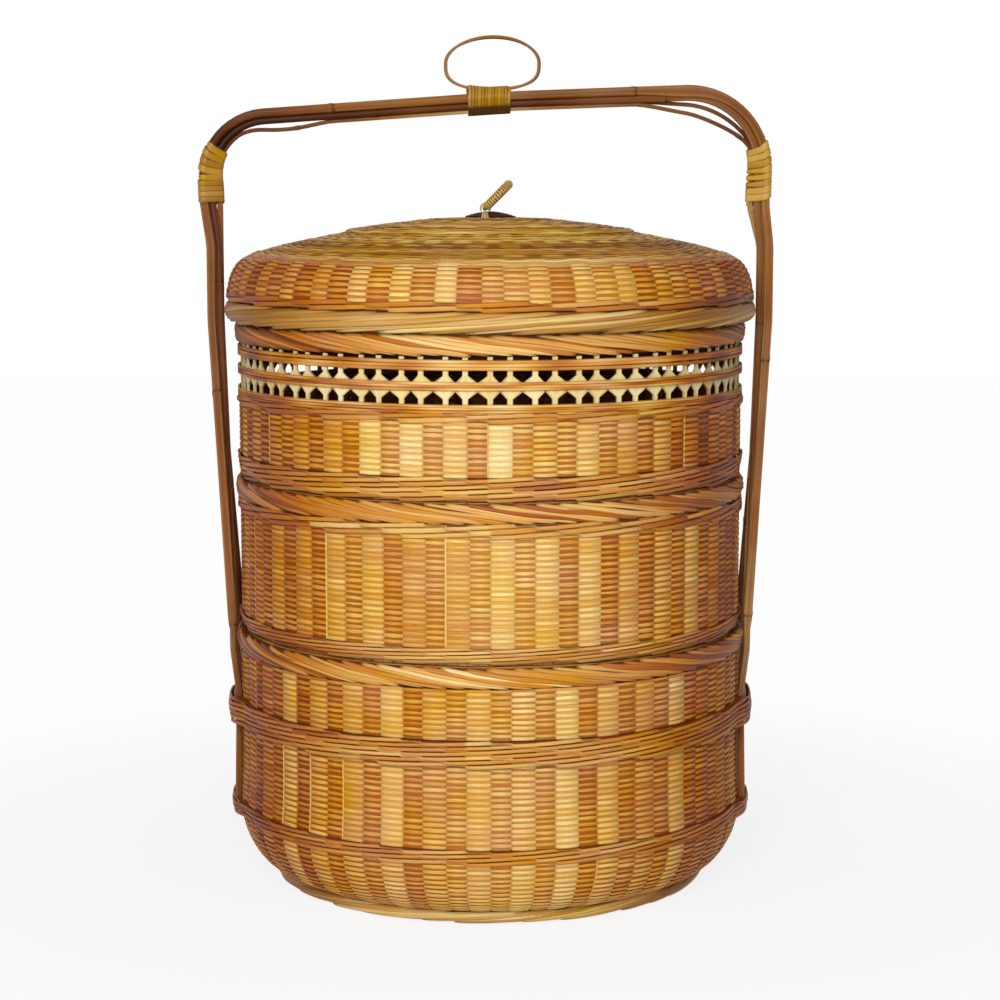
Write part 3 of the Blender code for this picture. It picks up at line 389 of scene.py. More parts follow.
# A tone for each column: straw and honey on the pale ones, honey to red-brown on the others
def columnTones(rng):
    tones = np.empty(weave["columns"])
    tones[0::2] = rng.choice([0.56, 0.62, 0.70, 0.82], weave["columns"] // 2, p=[0.3, 0.3, 0.22, 0.18])
    tones[1::2] = rng.choice([0.42, 0.48, 0.54, 0.59], weave["columns"] // 2, p=[0.2, 0.35, 0.3, 0.15])
    return tones + rng.normal(0, 0.03, weave["columns"])


# Plain weave: each round of weft passes over the pale columns and under the others, the next one the other way
def weftRounds(profile, piece, tones, rng):
    angles, columns, shares = columnStations(piece)
    place, normal = resampleProfile(profile, weave["weftPitch"])
    rows = len(place)

    def perColumn(spread):
        return rng.normal(0, spread, (rows, weave["columns"]))[:, columns]

    over = (np.arange(rows)[:, None] + columns[None]) % 2 == 0
    swing = np.where(over, 1.0, -1.0) * shares * weave["swing"] - weave["depth"]
    drift = np.zeros((rows, len(angles)))
    for turns in (1, 2, 5, 9):
        lead = leads(rng) + np.arange(rows)[:, None] * rng.normal(0, 0.12)
        drift += weave["wave"] / turns ** 0.6 * np.sin(turns * angles[None] + lead)
    drift += rng.normal(0, weave["shiver"], drift.shape)
    slipped = rng.random((rows, weave["columns"])) < 0.035
    drift += (slipped * weave["slip"])[:, columns]
    honey = columns % 2 == 1
    drift += perColumn(weave["unevenness"]) * honey
    radius = place[:, :1] + swing * normal[:, :1] + drift * -normal[:, 1:]
    level = place[:, 1:] + swing * normal[:, 1:] + drift * normal[:, :1]
    tone = tones[columns][None] + rng.normal(0, 0.03, (rows, 1))
    tone = tone + perColumn(0.045) + paintedFrontLightAt(angles)
    # Painted shade: each float darkens towards where it dives under a stake, the passes under the stakes are dark, and
    # on the lid the top rows of the honey columns are darkened where they meet the dome
    tuck = np.where(over, 1 - shares, 0.62)
    head = tuck[rows - piece["shadedHead"]:]
    np.maximum(head, 0.65 * honey[None], out=head)
    full = np.where(honey & (shares < 1), 0.76, 0.93 + 0.07 * (shares == 1))
    width = weave["weftWidth"] * full * (1 + rng.normal(0, 0.05, (rows, 1)))
    width = width * (1 + perColumn(0.11) * (0.4 + 0.6 * honey))
    return {**spin(radius, level, normal[:, None], angles), "width": width, "depth": weave["weftDepth"],
            "tone": tone, "tuck": tuck, "closed": True}


# Upright strips at given angles, sunk below the wall's face
def uprights(profile, angles, inward):
    place, normal = resampleProfile(profile, weave["weftPitch"], weave["stakeSteps"])
    radius = place[None, :, 0] - inward * normal[None, :, 0]
    return radius, spin(radius, place[None, :, 1] - inward * normal[None, :, 1], normal, angles)


def stakeStrips(profile, piece, tones, rng):
    angles = columnStations(piece)[0][1::3, None]
    radius, strips = uprights(profile, angles, weave["depth"])
    pale = (np.arange(weave["columns"]) % 2 == 0)[:, None]
    width = np.where(pale, piece["paleShare"], 1 - piece["paleShare"]) * pairPitch * radius - weave["stakeGap"]
    tone = tones[:, None] - np.where(pale, rng.choice([0.06, 0.22], pale.shape, p=[0.6, 0.4]), 0.16)
    # Stakes carry painted shade for lying behind the wefts, more on the honey columns
    return {**strips, "width": width, "depth": weave["stakeDepth"], "tone": tone + paintedFrontLightAt(angles),
            "tuck": np.where(pale, 0.12, 0.25), "section": "strip"}


# Narrow pale splits that stand between some columns
def thinStakes(profile, piece, rng):
    picks = rng.choice(weave["columns"], piece["thin"], replace=False)
    half = pairPitch * piece["paleShare"] / 2
    angles = math.radians(piece["phase"] - 90) + pairPitch * (picks // 2) + np.where(picks % 2 == 0, half, -half)
    _, strips = uprights(profile, angles[:, None], weave["depth"] - weave["thinProud"])
    # The thin stakes carry a little painted shade
    return {**strips, "width": weave["thinWidth"], "depth": weave["thinDepth"],
            "tone": rng.uniform(0.75, 0.95, (piece["thin"], 1)), "tuck": 0.12, "section": "strip"}


# Where the base's bands ride out over the feet of the canes at both sides, in degrees from the side
overCanes = {"to": 20.0, "over": 8.5}


def raiseOverCanes(angles, height):
    fromSide = np.abs(np.degrees(np.arctan(np.tan(angles))))
    share = np.clip((overCanes["to"] - fromSide) / overCanes["over"], 0.0, 1.0)
    return height * share * share * (3 - 2 * share)


# Twined bands: each round floats over three columns and dips under one, a column further at each row
def walingRounds(bottom, top, piece, rng, band):
    angles, columns, shares = columnStations(piece)
    rows = band["rows"]
    width = (top - bottom) / rows * band["fullness"]
    levels = bottom + (np.arange(rows) + 0.5)[:, None] * (top - bottom) / rows
    run = columns[None] + np.arange(rows)[:, None]
    part = run % 4
    under = part == 3
    swing = np.where(under, -1.0, 1.0)
    for _ in range(2):
        swing = (np.roll(swing, 1, 1) + 2 * swing + np.roll(swing, -1, 1)) / 4
    openness = np.array(band["openness"])[::-1, None]
    swing = swing * band["swing"] * (0.35 + 0.65 * openness)
    fine = (part + (np.arange(len(angles)) % 3)[None] / 3) / 3 - 0.5
    climb = np.where(under, 0.0, fine) * band["climb"] * width
    for turns in (1, 3, 7):
        climb = climb + band["wave"] / turns * np.sin(turns * angles[None] + leads(rng))
    rounding = 1 - 0.28 * (2 * (np.arange(rows)[:, None] + 0.5) / rows - 1) ** 2
    radius = band["outer"] - band["depth"] / 2 - band["swing"] + swing
    radius = radius + raiseOverCanes(angles, band["raised"]) * rounding + rng.normal(0, 0.00012, (rows, 1))
    radius = radius - band["tuckIn"] * (1 - levels / top) * top / (top - bottom)
    floats = rng.normal(band["tone"], band["toneSpread"], (rows, weave["columns"]))
    tone = np.take_along_axis(floats, (run // 4) % weave["columns"], 1) + paintedFrontLightAt(angles)
    # Painted shade: the dips under the columns darken with the row's openness, and the lowest row takes footShade for
    # the gap beneath the band
    tuck = np.where(under, 0.85, 0.0) * openness
    tuck = (np.roll(tuck, 1, 1) + 2 * tuck + np.roll(tuck, -1, 1)) / 4
    tuck[0] = np.maximum(tuck[0], band["footShade"])
    width = width * (1 - 0.35 * under * openness) * (1 + rng.normal(0, 0.07, (rows, 1)))
    return {**spin(radius, levels + climb, straightOut, angles), "width": width, "depth": band["depth"],
            "tone": tone, "tuck": tuck, "closed": True}


# Rims: long splits laid slanting over the edge, each starting one column on, with their ends tucked in
def slantedSplits(bottom, top, rng, rim, steps=25):
    count = rim["count"]
    share = np.linspace(0.0, 1.0, steps)[None]
    first = (np.arange(count) * fullTurn / count + rng.normal(0, 0.008, count))[:, None]
    turn = first + rim["lean"] * share * rim["span"] * fullTurn / count
    waver = 0.05 * np.sin(fullTurn * share + leads(rng, (count, 1))) * share * (1 - share) * 4
    level = bottom + (top - bottom) * (0.07 + 0.86 * (share + waver)) + rng.normal(0, 0.00018, (count, 1))
    bulge = 1 - np.abs(2 * share - 1) ** rim["roundness"]
    tucked = np.clip(1 - np.minimum(share, 1 - share) / 0.07, 0, 1) ** 2
    radius = rim["outer"] - rim["depth"] / 2 - rim["fall"] * (1 - bulge) - rim["endTuck"] * tucked
    radius = radius + rng.normal(0, 0.00015, (count, 1))
    tilt = (share - 0.5) * rim["tilt"] + rim["shingle"]
    tone = rng.normal(rim["tone"], rim["toneSpread"], (count, 1)) + paintedFrontLightAt(turn)
    width = rim["width"] * (1 + rng.normal(0, 0.14, (count, 1))) * (0.75 + 0.25 * bulge ** 0.3)
    # The tucked-in ends carry painted shade
    return {**spin(radius, level, np.stack([np.cos(tilt), np.sin(tilt)], -1), turn), "width": width,
            "depth": rim["depth"], "tone": tone, "tuck": 0.75 * tucked}


# A plain ring behind a rim or band, painted dark as the shade in the gaps that show it
def shadeBackingRing(inner, outer, bottom, top, tone=0.05, tuck=0.75, raised=0.0):
    angles = ringAngles(180)
    lift = raiseOverCanes(angles, raised)
    return {**spin((inner + outer + lift) / 2, (bottom + top) / 2, straightOut, angles), "width": top - bottom,
            "depth": outer - inner + lift, "tone": tone, "tuck": tuck, "closed": True, "section": "box"}


# ---------- walls of the base and the trays

def low(node):
    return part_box(node)[0][2]


def high(node):
    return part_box(node)[1][2]


level = {"base": low("base_wall"), "lowerBand": low("base_lower_band"), "lowerBandTop": high("base_lower_band"),
         "waist": low("base_waist_band"), "waistTop": high("base_waist_band"), "baseTop": high("base_wall"),
         "trayBand": high("lower_tray_bottom_band"), "trayTop": high("lower_tray_wall"),
         "upperBand": high("upper_tray_bottom_band"), "upperTop": high("upper_tray_wall"),
         "lattice": low("upper_tray_lattice"), "latticeTop": high("upper_tray_lattice"), "side": low("lid_wall")}

everyWall = {"radius": 0.1584, "paleShare": 0.548, "thin": 7, "shadedHead": 0, "palest": 1.0}
basePiece = {**everyWall, "seed": 11, "phase": -2.2, "radius": 0.1590, "belly": 0.1603, "foot": 0.1376,
             "taper": [(0.1450, 0.0120), (0.1510, 0.0180), (0.1562, 0.0270), (0.1592, 0.0360)], "settled": 0.02}
trayPiece = {**everyWall, "seed": 21, "phase": 2.9}
upperPiece = {**everyWall, "seed": 31, "phase": 2.37}
lidPiece = {**everyWall, "seed": 71, "phase": 0.8, "paleShare": 0.46, "shadedHead": 2, "thin": 0, "palest": 0.70,
            "side": [(0.1651, 0.0046), (0.1650, 0.0070), (0.1640, 0.0125), (0.1614, 0.0190), (0.1572, 0.0243),
                     (0.1500, 0.0278)],
            "dome": [(0.1500, 0.0278), (0.1322, 0.0333), (0.1060, 0.0386), (0.0860, 0.0424)]}


def wovenWall(name, body, piece, profile):
    tones = np.minimum(columnTones(np.random.default_rng(piece["seed"])), piece["palest"])
    rng = np.random.default_rng(piece["seed"] + len(name))
    dressPiece(name + "_wefts", [weftRounds(profile, piece, tones, rng)], "weft", piece["seed"], body,
               "honey_weave", body + "_wall")
    dressPiece(name + "_stakes", [stakeStrips(profile, piece, tones, rng), thinStakes(profile, piece, rng)],
               "stake", piece["seed"], body, "honey_weave", body + "_wall")


wovenWall("base_taper", "base", basePiece,
          [(basePiece["foot"], level["base"]), *basePiece["taper"], (basePiece["belly"], level["lowerBand"])])
wovenWall("base_middle", "base", basePiece,
          [(basePiece["belly"], level["lowerBandTop"]),
           (basePiece["radius"], level["lowerBandTop"] + basePiece["settled"]), (basePiece["radius"], level["waist"])])
wovenWall("base_upper", "base", basePiece,
          [(basePiece["radius"], level["waistTop"]), (basePiece["radius"], level["baseTop"])])
wovenWall("lower_tray_weave", "lower_tray", trayPiece,
          [(trayPiece["radius"], level["trayBand"]), (trayPiece["radius"], level["trayTop"])])
wovenWall("upper_tray_weave", "upper_tray", upperPiece,
          [(upperPiece["radius"], level["upperBand"]), (upperPiece["radius"], level["upperTop"])])
print("walls woven")


# ---------- twined bands and rims

# Openness is how far each row, from the top, shows its dips
everyBand = {"fullness": 1.12, "depth": 0.0014, "swing": 0.0007, "climb": 0.8, "wave": 0.0003, "tone": 0.50,
             "toneSpread": 0.09, "tuckIn": 0.0, "footShade": 0.0, "raised": 0.0, "inner": 0.1560}
bands = {
    "lower": {"seed": 41, "outer": 0.1622, "inner": 0.1574, "rows": 4, "swing": 0.0008, "tone": 0.47,
              "toneSpread": 0.08, "raised": 0.0042, "openness": (0.8, 0.3, 0.5, 0.6)},
    "waist": {"seed": 42, "outer": 0.1632, "inner": 0.1568, "rows": 7, "depth": 0.0015, "swing": 0.0009,
              "tone": 0.48, "raised": 0.0049, "openness": (0.8, 0.7, 0.3, 0.2, 0.3, 0.4, 0.9)},
    "tray": {"seed": 43, "outer": 0.1602, "inner": 0.1556, "rows": 5, "tuckIn": 0.0028, "footShade": 0.45,
             "openness": (0.8, 0.8, 0.5, 0.2, 0.2)},
    "upper": {"seed": 44, "outer": 0.1602, "inner": 0.1556, "rows": 6, "tuckIn": 0.0020, "footShade": 0.35,
              "openness": (0.9, 0.9, 0.5, 0.2, 0.2, 0.2)},
    "underRim": {"seed": 45, "outer": 0.1600, "rows": 3, "fullness": 1.08, "depth": 0.0013, "tone": 0.52,
                 "openness": (0.9, 0.9, 0.8)},
    "underOpenwork": {"seed": 46, "outer": 0.1598, "rows": 2, "fullness": 1.08, "depth": 0.0013, "climb": 0.6,
                      "tone": 0.52, "openness": (0.4, 0.9)},
    "lidFoot": {"seed": 47, "outer": 0.1662, "inner": 0.1624, "rows": 2, "fullness": 1.1, "depth": 0.0013,
                "swing": 0.0006, "climb": 0.6, "tone": 0.36, "toneSpread": 0.10, "openness": (0.8, 0.6)},
}
ringMargin = 0.0004  # how far a band's backing ring stays inside the band's edges


def twinedBand(name, node, body, piece, band, bottom, top, slotName):
    band = {**everyBand, **band}
    rounds = walingRounds(bottom, top, piece, np.random.default_rng(band["seed"]), band)
    # A dark ring of painted shade behind the band's gaps
    ring = shadeBackingRing(band["inner"], band["outer"] - band["depth"] - 1.6 * band["swing"] - band["tuckIn"],
                       bottom + ringMargin, top - ringMargin, tone=0.2, tuck=0.6, raised=0.78 * band["raised"])
    dressPiece(name, [rounds, ring], "rim", band["seed"], body, slotName, node)


twinedBand("base_lower_twining", "base_lower_band", "base", basePiece, bands["lower"], level["lowerBand"],
           level["lowerBandTop"], "rim_split")
twinedBand("base_waist_twining", "base_waist_band", "base", basePiece, bands["waist"], level["waist"],
           level["waistTop"], "rim_split")
twinedBand("lower_tray_bottom_twining", "lower_tray_bottom_band", "lower_tray", trayPiece, bands["tray"],
           low("lower_tray_bottom_band") + 0.0014, level["trayBand"], "rim_split")
twinedBand("upper_tray_bottom_twining", "upper_tray_bottom_band", "upper_tray", upperPiece, bands["upper"],
           low("upper_tray_bottom_band") + 0.0010, level["upperBand"], "rim_split")
twinedBand("lower_tray_upper_twining", "lower_tray_wall", "lower_tray", trayPiece, bands["underRim"],
           level["trayTop"] - 0.0072, level["trayTop"] + 0.0004, "honey_weave")
twinedBand("upper_tray_upper_twining", "upper_tray_wall", "upper_tray", upperPiece, bands["underOpenwork"],
           level["upperTop"] - 0.0062, level["upperTop"] - 0.0012, "honey_weave")

everyRim = {"count": weave["columns"], "inner": 0.1564, "lean": -1, "span": 6, "width": 0.0032, "depth": 0.0013,
            "fall": 0.0012, "roundness": 2.4, "tilt": 1.2, "shingle": 0.22, "endTuck": 0.0012, "toneSpread": 0.18,
            "lift": 0.0, "margin": 0.0006}
rims = {
    "base": {"seed": 51, "outer": 0.1615, "depth": 0.0014, "fall": 0.0016, "tone": 0.48},
    "tray": {"seed": 52, "outer": 0.1605, "tone": 0.50},
    "upper": {"seed": 53, "outer": 0.1605, "tone": 0.48},
    "lid": {"seed": 54, "outer": 0.1665, "inner": 0.1600, "lean": 1, "count": 38, "width": 0.0036,
            "depth": 0.0016, "fall": 0.0022, "tone": 0.31, "toneSpread": 0.16},
    "foot": {"seed": 55, "outer": 0.1374, "inner": 0.1314, "lean": 1, "span": 5, "count": 40, "width": 0.0030,
             "depth": 0.0015, "fall": 0.0016, "tone": 0.35, "toneSpread": 0.15, "lift": 0.0013},
}


def slantedRim(name, node, body, rim, finish, slotName):
    rim = {**everyRim, **rim}
    bottom, top = low(node) + rim["lift"], high(node)
    # A dark ring of painted shade behind the rim's splits
    ring = shadeBackingRing(rim["inner"], rim["outer"] - rim["depth"] - rim["fall"] * 0.75, bottom + rim["margin"],
                       top - rim["margin"])
    laid = slantedSplits(bottom, top, np.random.default_rng(rim["seed"]), rim)
    dressPiece(name, [ring, laid], finish, rim["seed"], body, slotName, node)


slantedRim("base_rim_splits", "base_rim", "base", rims["base"], "rim", "rim_split")
slantedRim("lower_tray_rim_splits", "lower_tray_rim", "lower_tray", rims["tray"], "rim", "rim_split")
slantedRim("upper_tray_rim_splits", "upper_tray_rim", "upper_tray", rims["upper"], "rim", "rim_split")
slantedRim("lid_rim_splits", "lid_rim", "lid", rims["lid"], "pale", "pale_split")
slantedRim("base_foot_splits", "base_foot_hoop", "base", rims["foot"], "pale", "pale_split")
print("bands and rims laid")


# ---------- openwork of the upper tray

# Levels go up from the sill, and the spread at each is the share of the gap that a stem's side reaches over
openwork = {"seed": 61, "stem": 0.0034, "wide": 0.0112, "radius": 0.1571, "depth": 0.0011, "steps": 22,
            "levels": [0.0, 0.0033, 0.0066, 0.0106, 0.0139, 0.0160, 0.0200, 0.0309],
            "spread": [0.0, 0.0, 0.0, 0.96, 1.0, 0.96, 0.0, 0.0]}


# Stems stand straight at the sill and the head, and flare out to their neighbours under the middle hoop
def openworkStems(settings, phase):
    rng = np.random.default_rng(settings["seed"])
    knots = len(settings["levels"])
    at = np.linspace(0, knots - 1, settings["steps"])
    levels = np.interp(at, range(knots), settings["levels"])
    spread = np.interp(at, range(knots), settings["spread"])
    narrow = 2 * (pairPitch * settings["radius"] / 2) - settings["wide"] - 2 * settings["stem"]
    index = np.arange(weave["columns"])[:, None]
    wideOnLeft = index % 2 == 1
    offset = (narrow + settings["stem"]) / 2 * np.where(wideOnLeft, -1, 1)
    left = settings["stem"] / 2 + spread * np.where(wideOnLeft, settings["wide"] / 2, narrow / 2)
    right = settings["stem"] / 2 + spread * np.where(wideOnLeft, narrow / 2, settings["wide"] / 2)
    turn = math.radians(phase - 90) + pairPitch * (index // 2) + offset / settings["radius"]
    turn = turn + (right - left) / 2 / settings["radius"]
    turn = turn + rng.normal(0, 0.00012, index.shape) / settings["radius"]
    return {**spin(settings["radius"] - settings["depth"] / 2, level["lattice"] + levels, straightOut, turn),
            "width": left + right, "depth": settings["depth"], "tone": rng.normal(0.72, 0.08, index.shape),
            "section": "creased", "ahead": (0.0, 0.0, 1.0)}


# A split inside the wall closes the view between the openwork and the rim, coloured dark as painted shade in the slits
innerShadeSplit = shadeBackingRing(0.1545, 0.1553, level["latticeTop"] - 0.0036, level["latticeTop"] + 0.0040, tone=0.2)
dressPiece("upper_tray_inner_shade_split", [innerShadeSplit], "smoked", 65, "upper_tray", "brown_cane")
dressPiece("upper_tray_openwork", [openworkStems(openwork, upperPiece["phase"])], "pale", openwork["seed"],
           "upper_tray", "pale_split", "upper_tray_lattice")

everyHoop = {"outer": 0.1590, "inner": 0.1545, "rows": 3, "depth": 0.0013, "wander": 0.0004, "tone": 0.58}
hoops = {"lower": {"seed": 62, "tone": 0.52, "drop": 0.0015}, "middle": {"seed": 63, "drop": 0.0013},
         "upper": {"seed": 64, "drop": 0.0017}}


# Each hoop is three rounds of fine split laid one over another, inside and out
def flatRounds(name, node, body, hoop):
    hoop = {**everyHoop, **hoop}
    rng = np.random.default_rng(hoop["seed"])
    bottom, top = low(node) - hoop["drop"], high(node) - hoop["drop"]
    count = hoop["rows"]
    step = (top - bottom) / count
    angles = ringAngles(180)
    rows = (np.arange(count) + 0.5)[:, None] * step + bottom
    wander = sum(hoop["wander"] / turns * np.sin(turns * angles + leads(rng, (count, 1))) for turns in (2, 5, 11, 19))
    tone = hoop["tone"] + rng.normal(0, 0.08, (count, 1)) + paintedFrontLightAt(angles)
    for share, turns in ((0.13, 9), (0.10, 23)):
        tone = tone + share * np.sin(turns * angles + leads(rng, (count, 1)))
    bundles = []
    for outer, share in ((hoop["outer"], 1.0), (hoop["inner"] + hoop["depth"], 0.8)):
        bundles.append({**spin(outer - hoop["depth"] / 2, rows + wander * share, straightOut, angles),
                        "width": step * 1.06, "depth": hoop["depth"], "tone": tone, "closed": True})
    dressPiece(name, bundles, "rim", hoop["seed"], body, "rim_split", node)


for key, hoop in hoops.items():
    flatRounds("upper_tray_" + key + "_rounds", "upper_tray_" + key + "_hoop", "upper_tray", hoop)
print("openwork made")


# ---------- lid

wovenWall("lid_weave", "lid", lidPiece, [(radius, level["side"] + rise) for radius, rise in lidPiece["side"]])
twinedBand("lid_lower_twining", "lid_wall", "lid", lidPiece, bands["lidFoot"], level["side"] - 0.0002,
           level["side"] + 0.0052, "honey_weave")


# Fine rounds over the dome and the crown, rising and sinking as if over and under radial stakes
def domeRounds(profile, settings):
    rng = np.random.default_rng(settings["seed"])
    place, normal = resampleProfile(profile, settings["pitch"])
    count = len(place)
    row = np.arange(count)[:, None]
    angles = ringAngles(settings["stations"])
    over = (np.arange(settings["stations"])[None] // 2 + row) % 2
    swing = (over * 2 - 1) * settings["swing"] * np.minimum(1.0, place[:, :1] / 0.03)
    swing = swing + rng.normal(0, 0.00012, (count, 1)) - settings["sunk"]
    wander = sum(settings["wander"] / turns * np.sin(turns * angles + leads(rng) + row * 0.15) for turns in (2, 3, 7))
    radius = place[:, :1] + swing * normal[:, :1] + wander * -normal[:, 1:] * np.minimum(1.0, place[:, :1] / 0.04)
    height = place[:, 1:] + swing * normal[:, 1:] + wander * normal[:, :1]
    tone = rng.normal(settings["tone"], 0.25, (count, 1)) + 0.20 * np.sin(
        rng.integers(2, 9, (count, 1)) * angles + leads(rng, (count, 1)))
    width = settings["pitch"] * (1.12 + rng.normal(0, 0.14, (count, 1)))
    # Rounds passing under a stake carry painted shade
    return {**spin(radius, height, normal[:, None], angles), "width": width, "depth": settings["depth"],
            "tone": tone, "tuck": np.where(over > 0, 0.0, 0.25), "closed": True}


# Three long splits swing over the heads of the pale columns at the shoulder
def shoulderWaves(settings):
    rng = np.random.default_rng(settings["seed"])
    count = len(settings["rows"])
    pale = weave["columns"] // 2
    angles = ringAngles(pale * 8)
    turned = pale * (angles - math.radians(lidPiece["phase"] - 90))
    heights = rng.uniform(0.3, 1.15, pale)[np.floor(turned / fullTurn + 0.5).astype(int) % pale]
    heads = (1 + np.cos(turned)) * heights - 1
    share = np.array(settings["rows"])[:, None] + settings["wave"] * heads + 0.10 * np.sin(
        7 * angles + leads(rng, (count, 1)))
    (outRadius, outRise), (inRadius, inRise) = settings["from"], settings["to"]
    lean = math.atan2(inRise - outRise, outRadius - inRadius)
    strands = spin(outRadius + (inRadius - outRadius) * share, level["side"] + outRise + (inRise - outRise) * share,
                   np.array([math.sin(lean), math.cos(lean)]), angles)
    tone = rng.normal(settings["tone"], 0.08, (count, 1)) + paintedFrontLightAt(angles)
    tone = tone + 0.1 * np.sin(5 * angles + leads(rng, (count, 1)))
    return {**strands, "width": settings["width"], "depth": settings["depth"], "tone": tone, "closed": True}


# A thin sheet under the rounds, so that no light shows between them, coloured dark as painted shade
shadeSheet = {"pitch": 0.004, "sunk": 0.0019, "width": 0.0044, "depth": 0.0005}


def domeShadeSheet(profile):
    place, normal = resampleProfile(profile, shadeSheet["pitch"])
    sheet = spin(place[:, :1] - shadeSheet["sunk"] * normal[:, :1], place[:, 1:] - shadeSheet["sunk"] * normal[:, 1:],
                 normal[:, None], ringAngles(96))
    return {**sheet, "width": shadeSheet["width"], "depth": shadeSheet["depth"], "tone": 0.1, "tuck": 0.4,
            "closed": True}


dome = {"seed": 81, "pitch": 0.0019, "stations": 152, "swing": 0.0002, "wander": 0.0006, "depth": 0.0012,
        "sunk": 0.0009, "tone": 0.52}
crown = {"seed": 82, "pitch": 0.0018, "stations": 76, "swing": 0.0002, "wander": 0.0005, "depth": 0.0012,
         "sunk": 0.0009, "tone": 0.52}
waves = {"seed": 83, "rows": (0.25, 0.55, 0.85), "wave": 0.22, "from": (0.1540, 0.0252), "to": (0.1478, 0.0284),
         "tone": 0.62, "width": 0.0024, "depth": 0.0011}
domeProfile = [(radius, level["side"] + rise) for radius, rise in lidPiece["dome"]]
crownTop = high("lid_crown")
crownEdge = level["side"] + 0.0420
crownProfile = [(0.0902, crownEdge), (0.0896, crownEdge + 0.0010), (0.0880, crownEdge + 0.0016),
                (0.0510, crownTop - 0.0024), (0.0300, crownTop - 0.0008), (0.0008, crownTop)]
dressPiece("lid_dome_rounds", [domeRounds(domeProfile, dome), domeShadeSheet(domeProfile)], "crown", dome["seed"],
           "lid", "honey_weave", "lid_wall")
dressPiece("lid_shoulder_splits", [shoulderWaves(waves)], "rim", waves["seed"], "lid", "honey_weave", "lid_wall")
dressPiece("lid_crown_rounds", [domeRounds(crownProfile, crown), domeShadeSheet(crownProfile)], "crown",
           crown["seed"], "lid", "honey_weave", "lid_crown")
print("lid woven")


# ---------- knob

knob = {"seed": 91, "offset": -0.0030, "ringRadius": 0.0103, "core": 0.0036, "wrap": 0.0012, "turns": 34,
        "free": 0.62, "lean": math.radians(45), "tie": 0.0018, "buttonRadius": 0.0160}
pivot = Vector((knob["offset"], 0.0, (high("knob_button") + 0.0003 + knob["core"] / 2)))


# The ring stands upright in its own frame and leans over its pivot
def knobPlace(points):
    turn = Matrix.Rotation(knob["lean"], 3, "Y")
    return np.array([list(pivot + turn @ Vector(point)) for point in points])


def knobTurned(directions):
    turn = Matrix.Rotation(knob["lean"], 3, "Y")
    return np.array([list(turn @ Vector(direction)) for direction in directions])


def buildKnob(settings):
    radius = settings["ringRadius"]
    steps = 72
    bundles = []
    centres, outs = [], []
    for strand in range(2):
        points, normals = [], []
        for step in range(steps):
            angle = fullTurn * step / steps
            outward = Vector((0.0, math.sin(angle), -math.cos(angle)))
            twist = 5 * angle + math.pi * strand
            across = outward * math.cos(twist) + Vector((1.0, 0.0, 0.0)) * math.sin(twist)
            points.append(Vector((0.0, 0.0, radius)) + outward * radius + across * settings["core"] * 0.20)
            normals.append(across)
        centres.append(knobPlace(points))
        outs.append(knobTurned(normals))
    bundles.append({"centre": np.array(centres), "out": np.array(outs), "width": settings["core"] * 0.62,
                    "depth": settings["core"] * 0.62, "tone": 0.55, "section": "small", "closed": True})
    dressPiece("knob_ring_cane", bundles, "pale", settings["seed"], "knob", "golden_cane", "knob_ring")
    count = settings["turns"] * 10
    points, normals = [], []
    for index in range(count + 1):
        share = index / count
        angle = settings["free"] + share * (fullTurn - 2 * settings["free"])
        twist = fullTurn * index / 10
        outward = Vector((0.0, math.sin(angle), -math.cos(angle)))
        across = outward * math.cos(twist) + Vector((1.0, 0.0, 0.0)) * math.sin(twist)
        points.append(Vector((0.0, 0.0, radius)) + outward * radius + across * (settings["core"] / 2 + 0.0007))
        normals.append(across)
    wrap = {"centre": knobPlace(points)[None], "out": knobTurned(normals)[None], "width": settings["wrap"],
            "depth": settings["wrap"] * 0.7, "tone": 0.52}
    dressPiece("knob_ring_wraps", [wrap], "pale", 92, "knob", "golden_cane",
           "knob_ring_wrap")


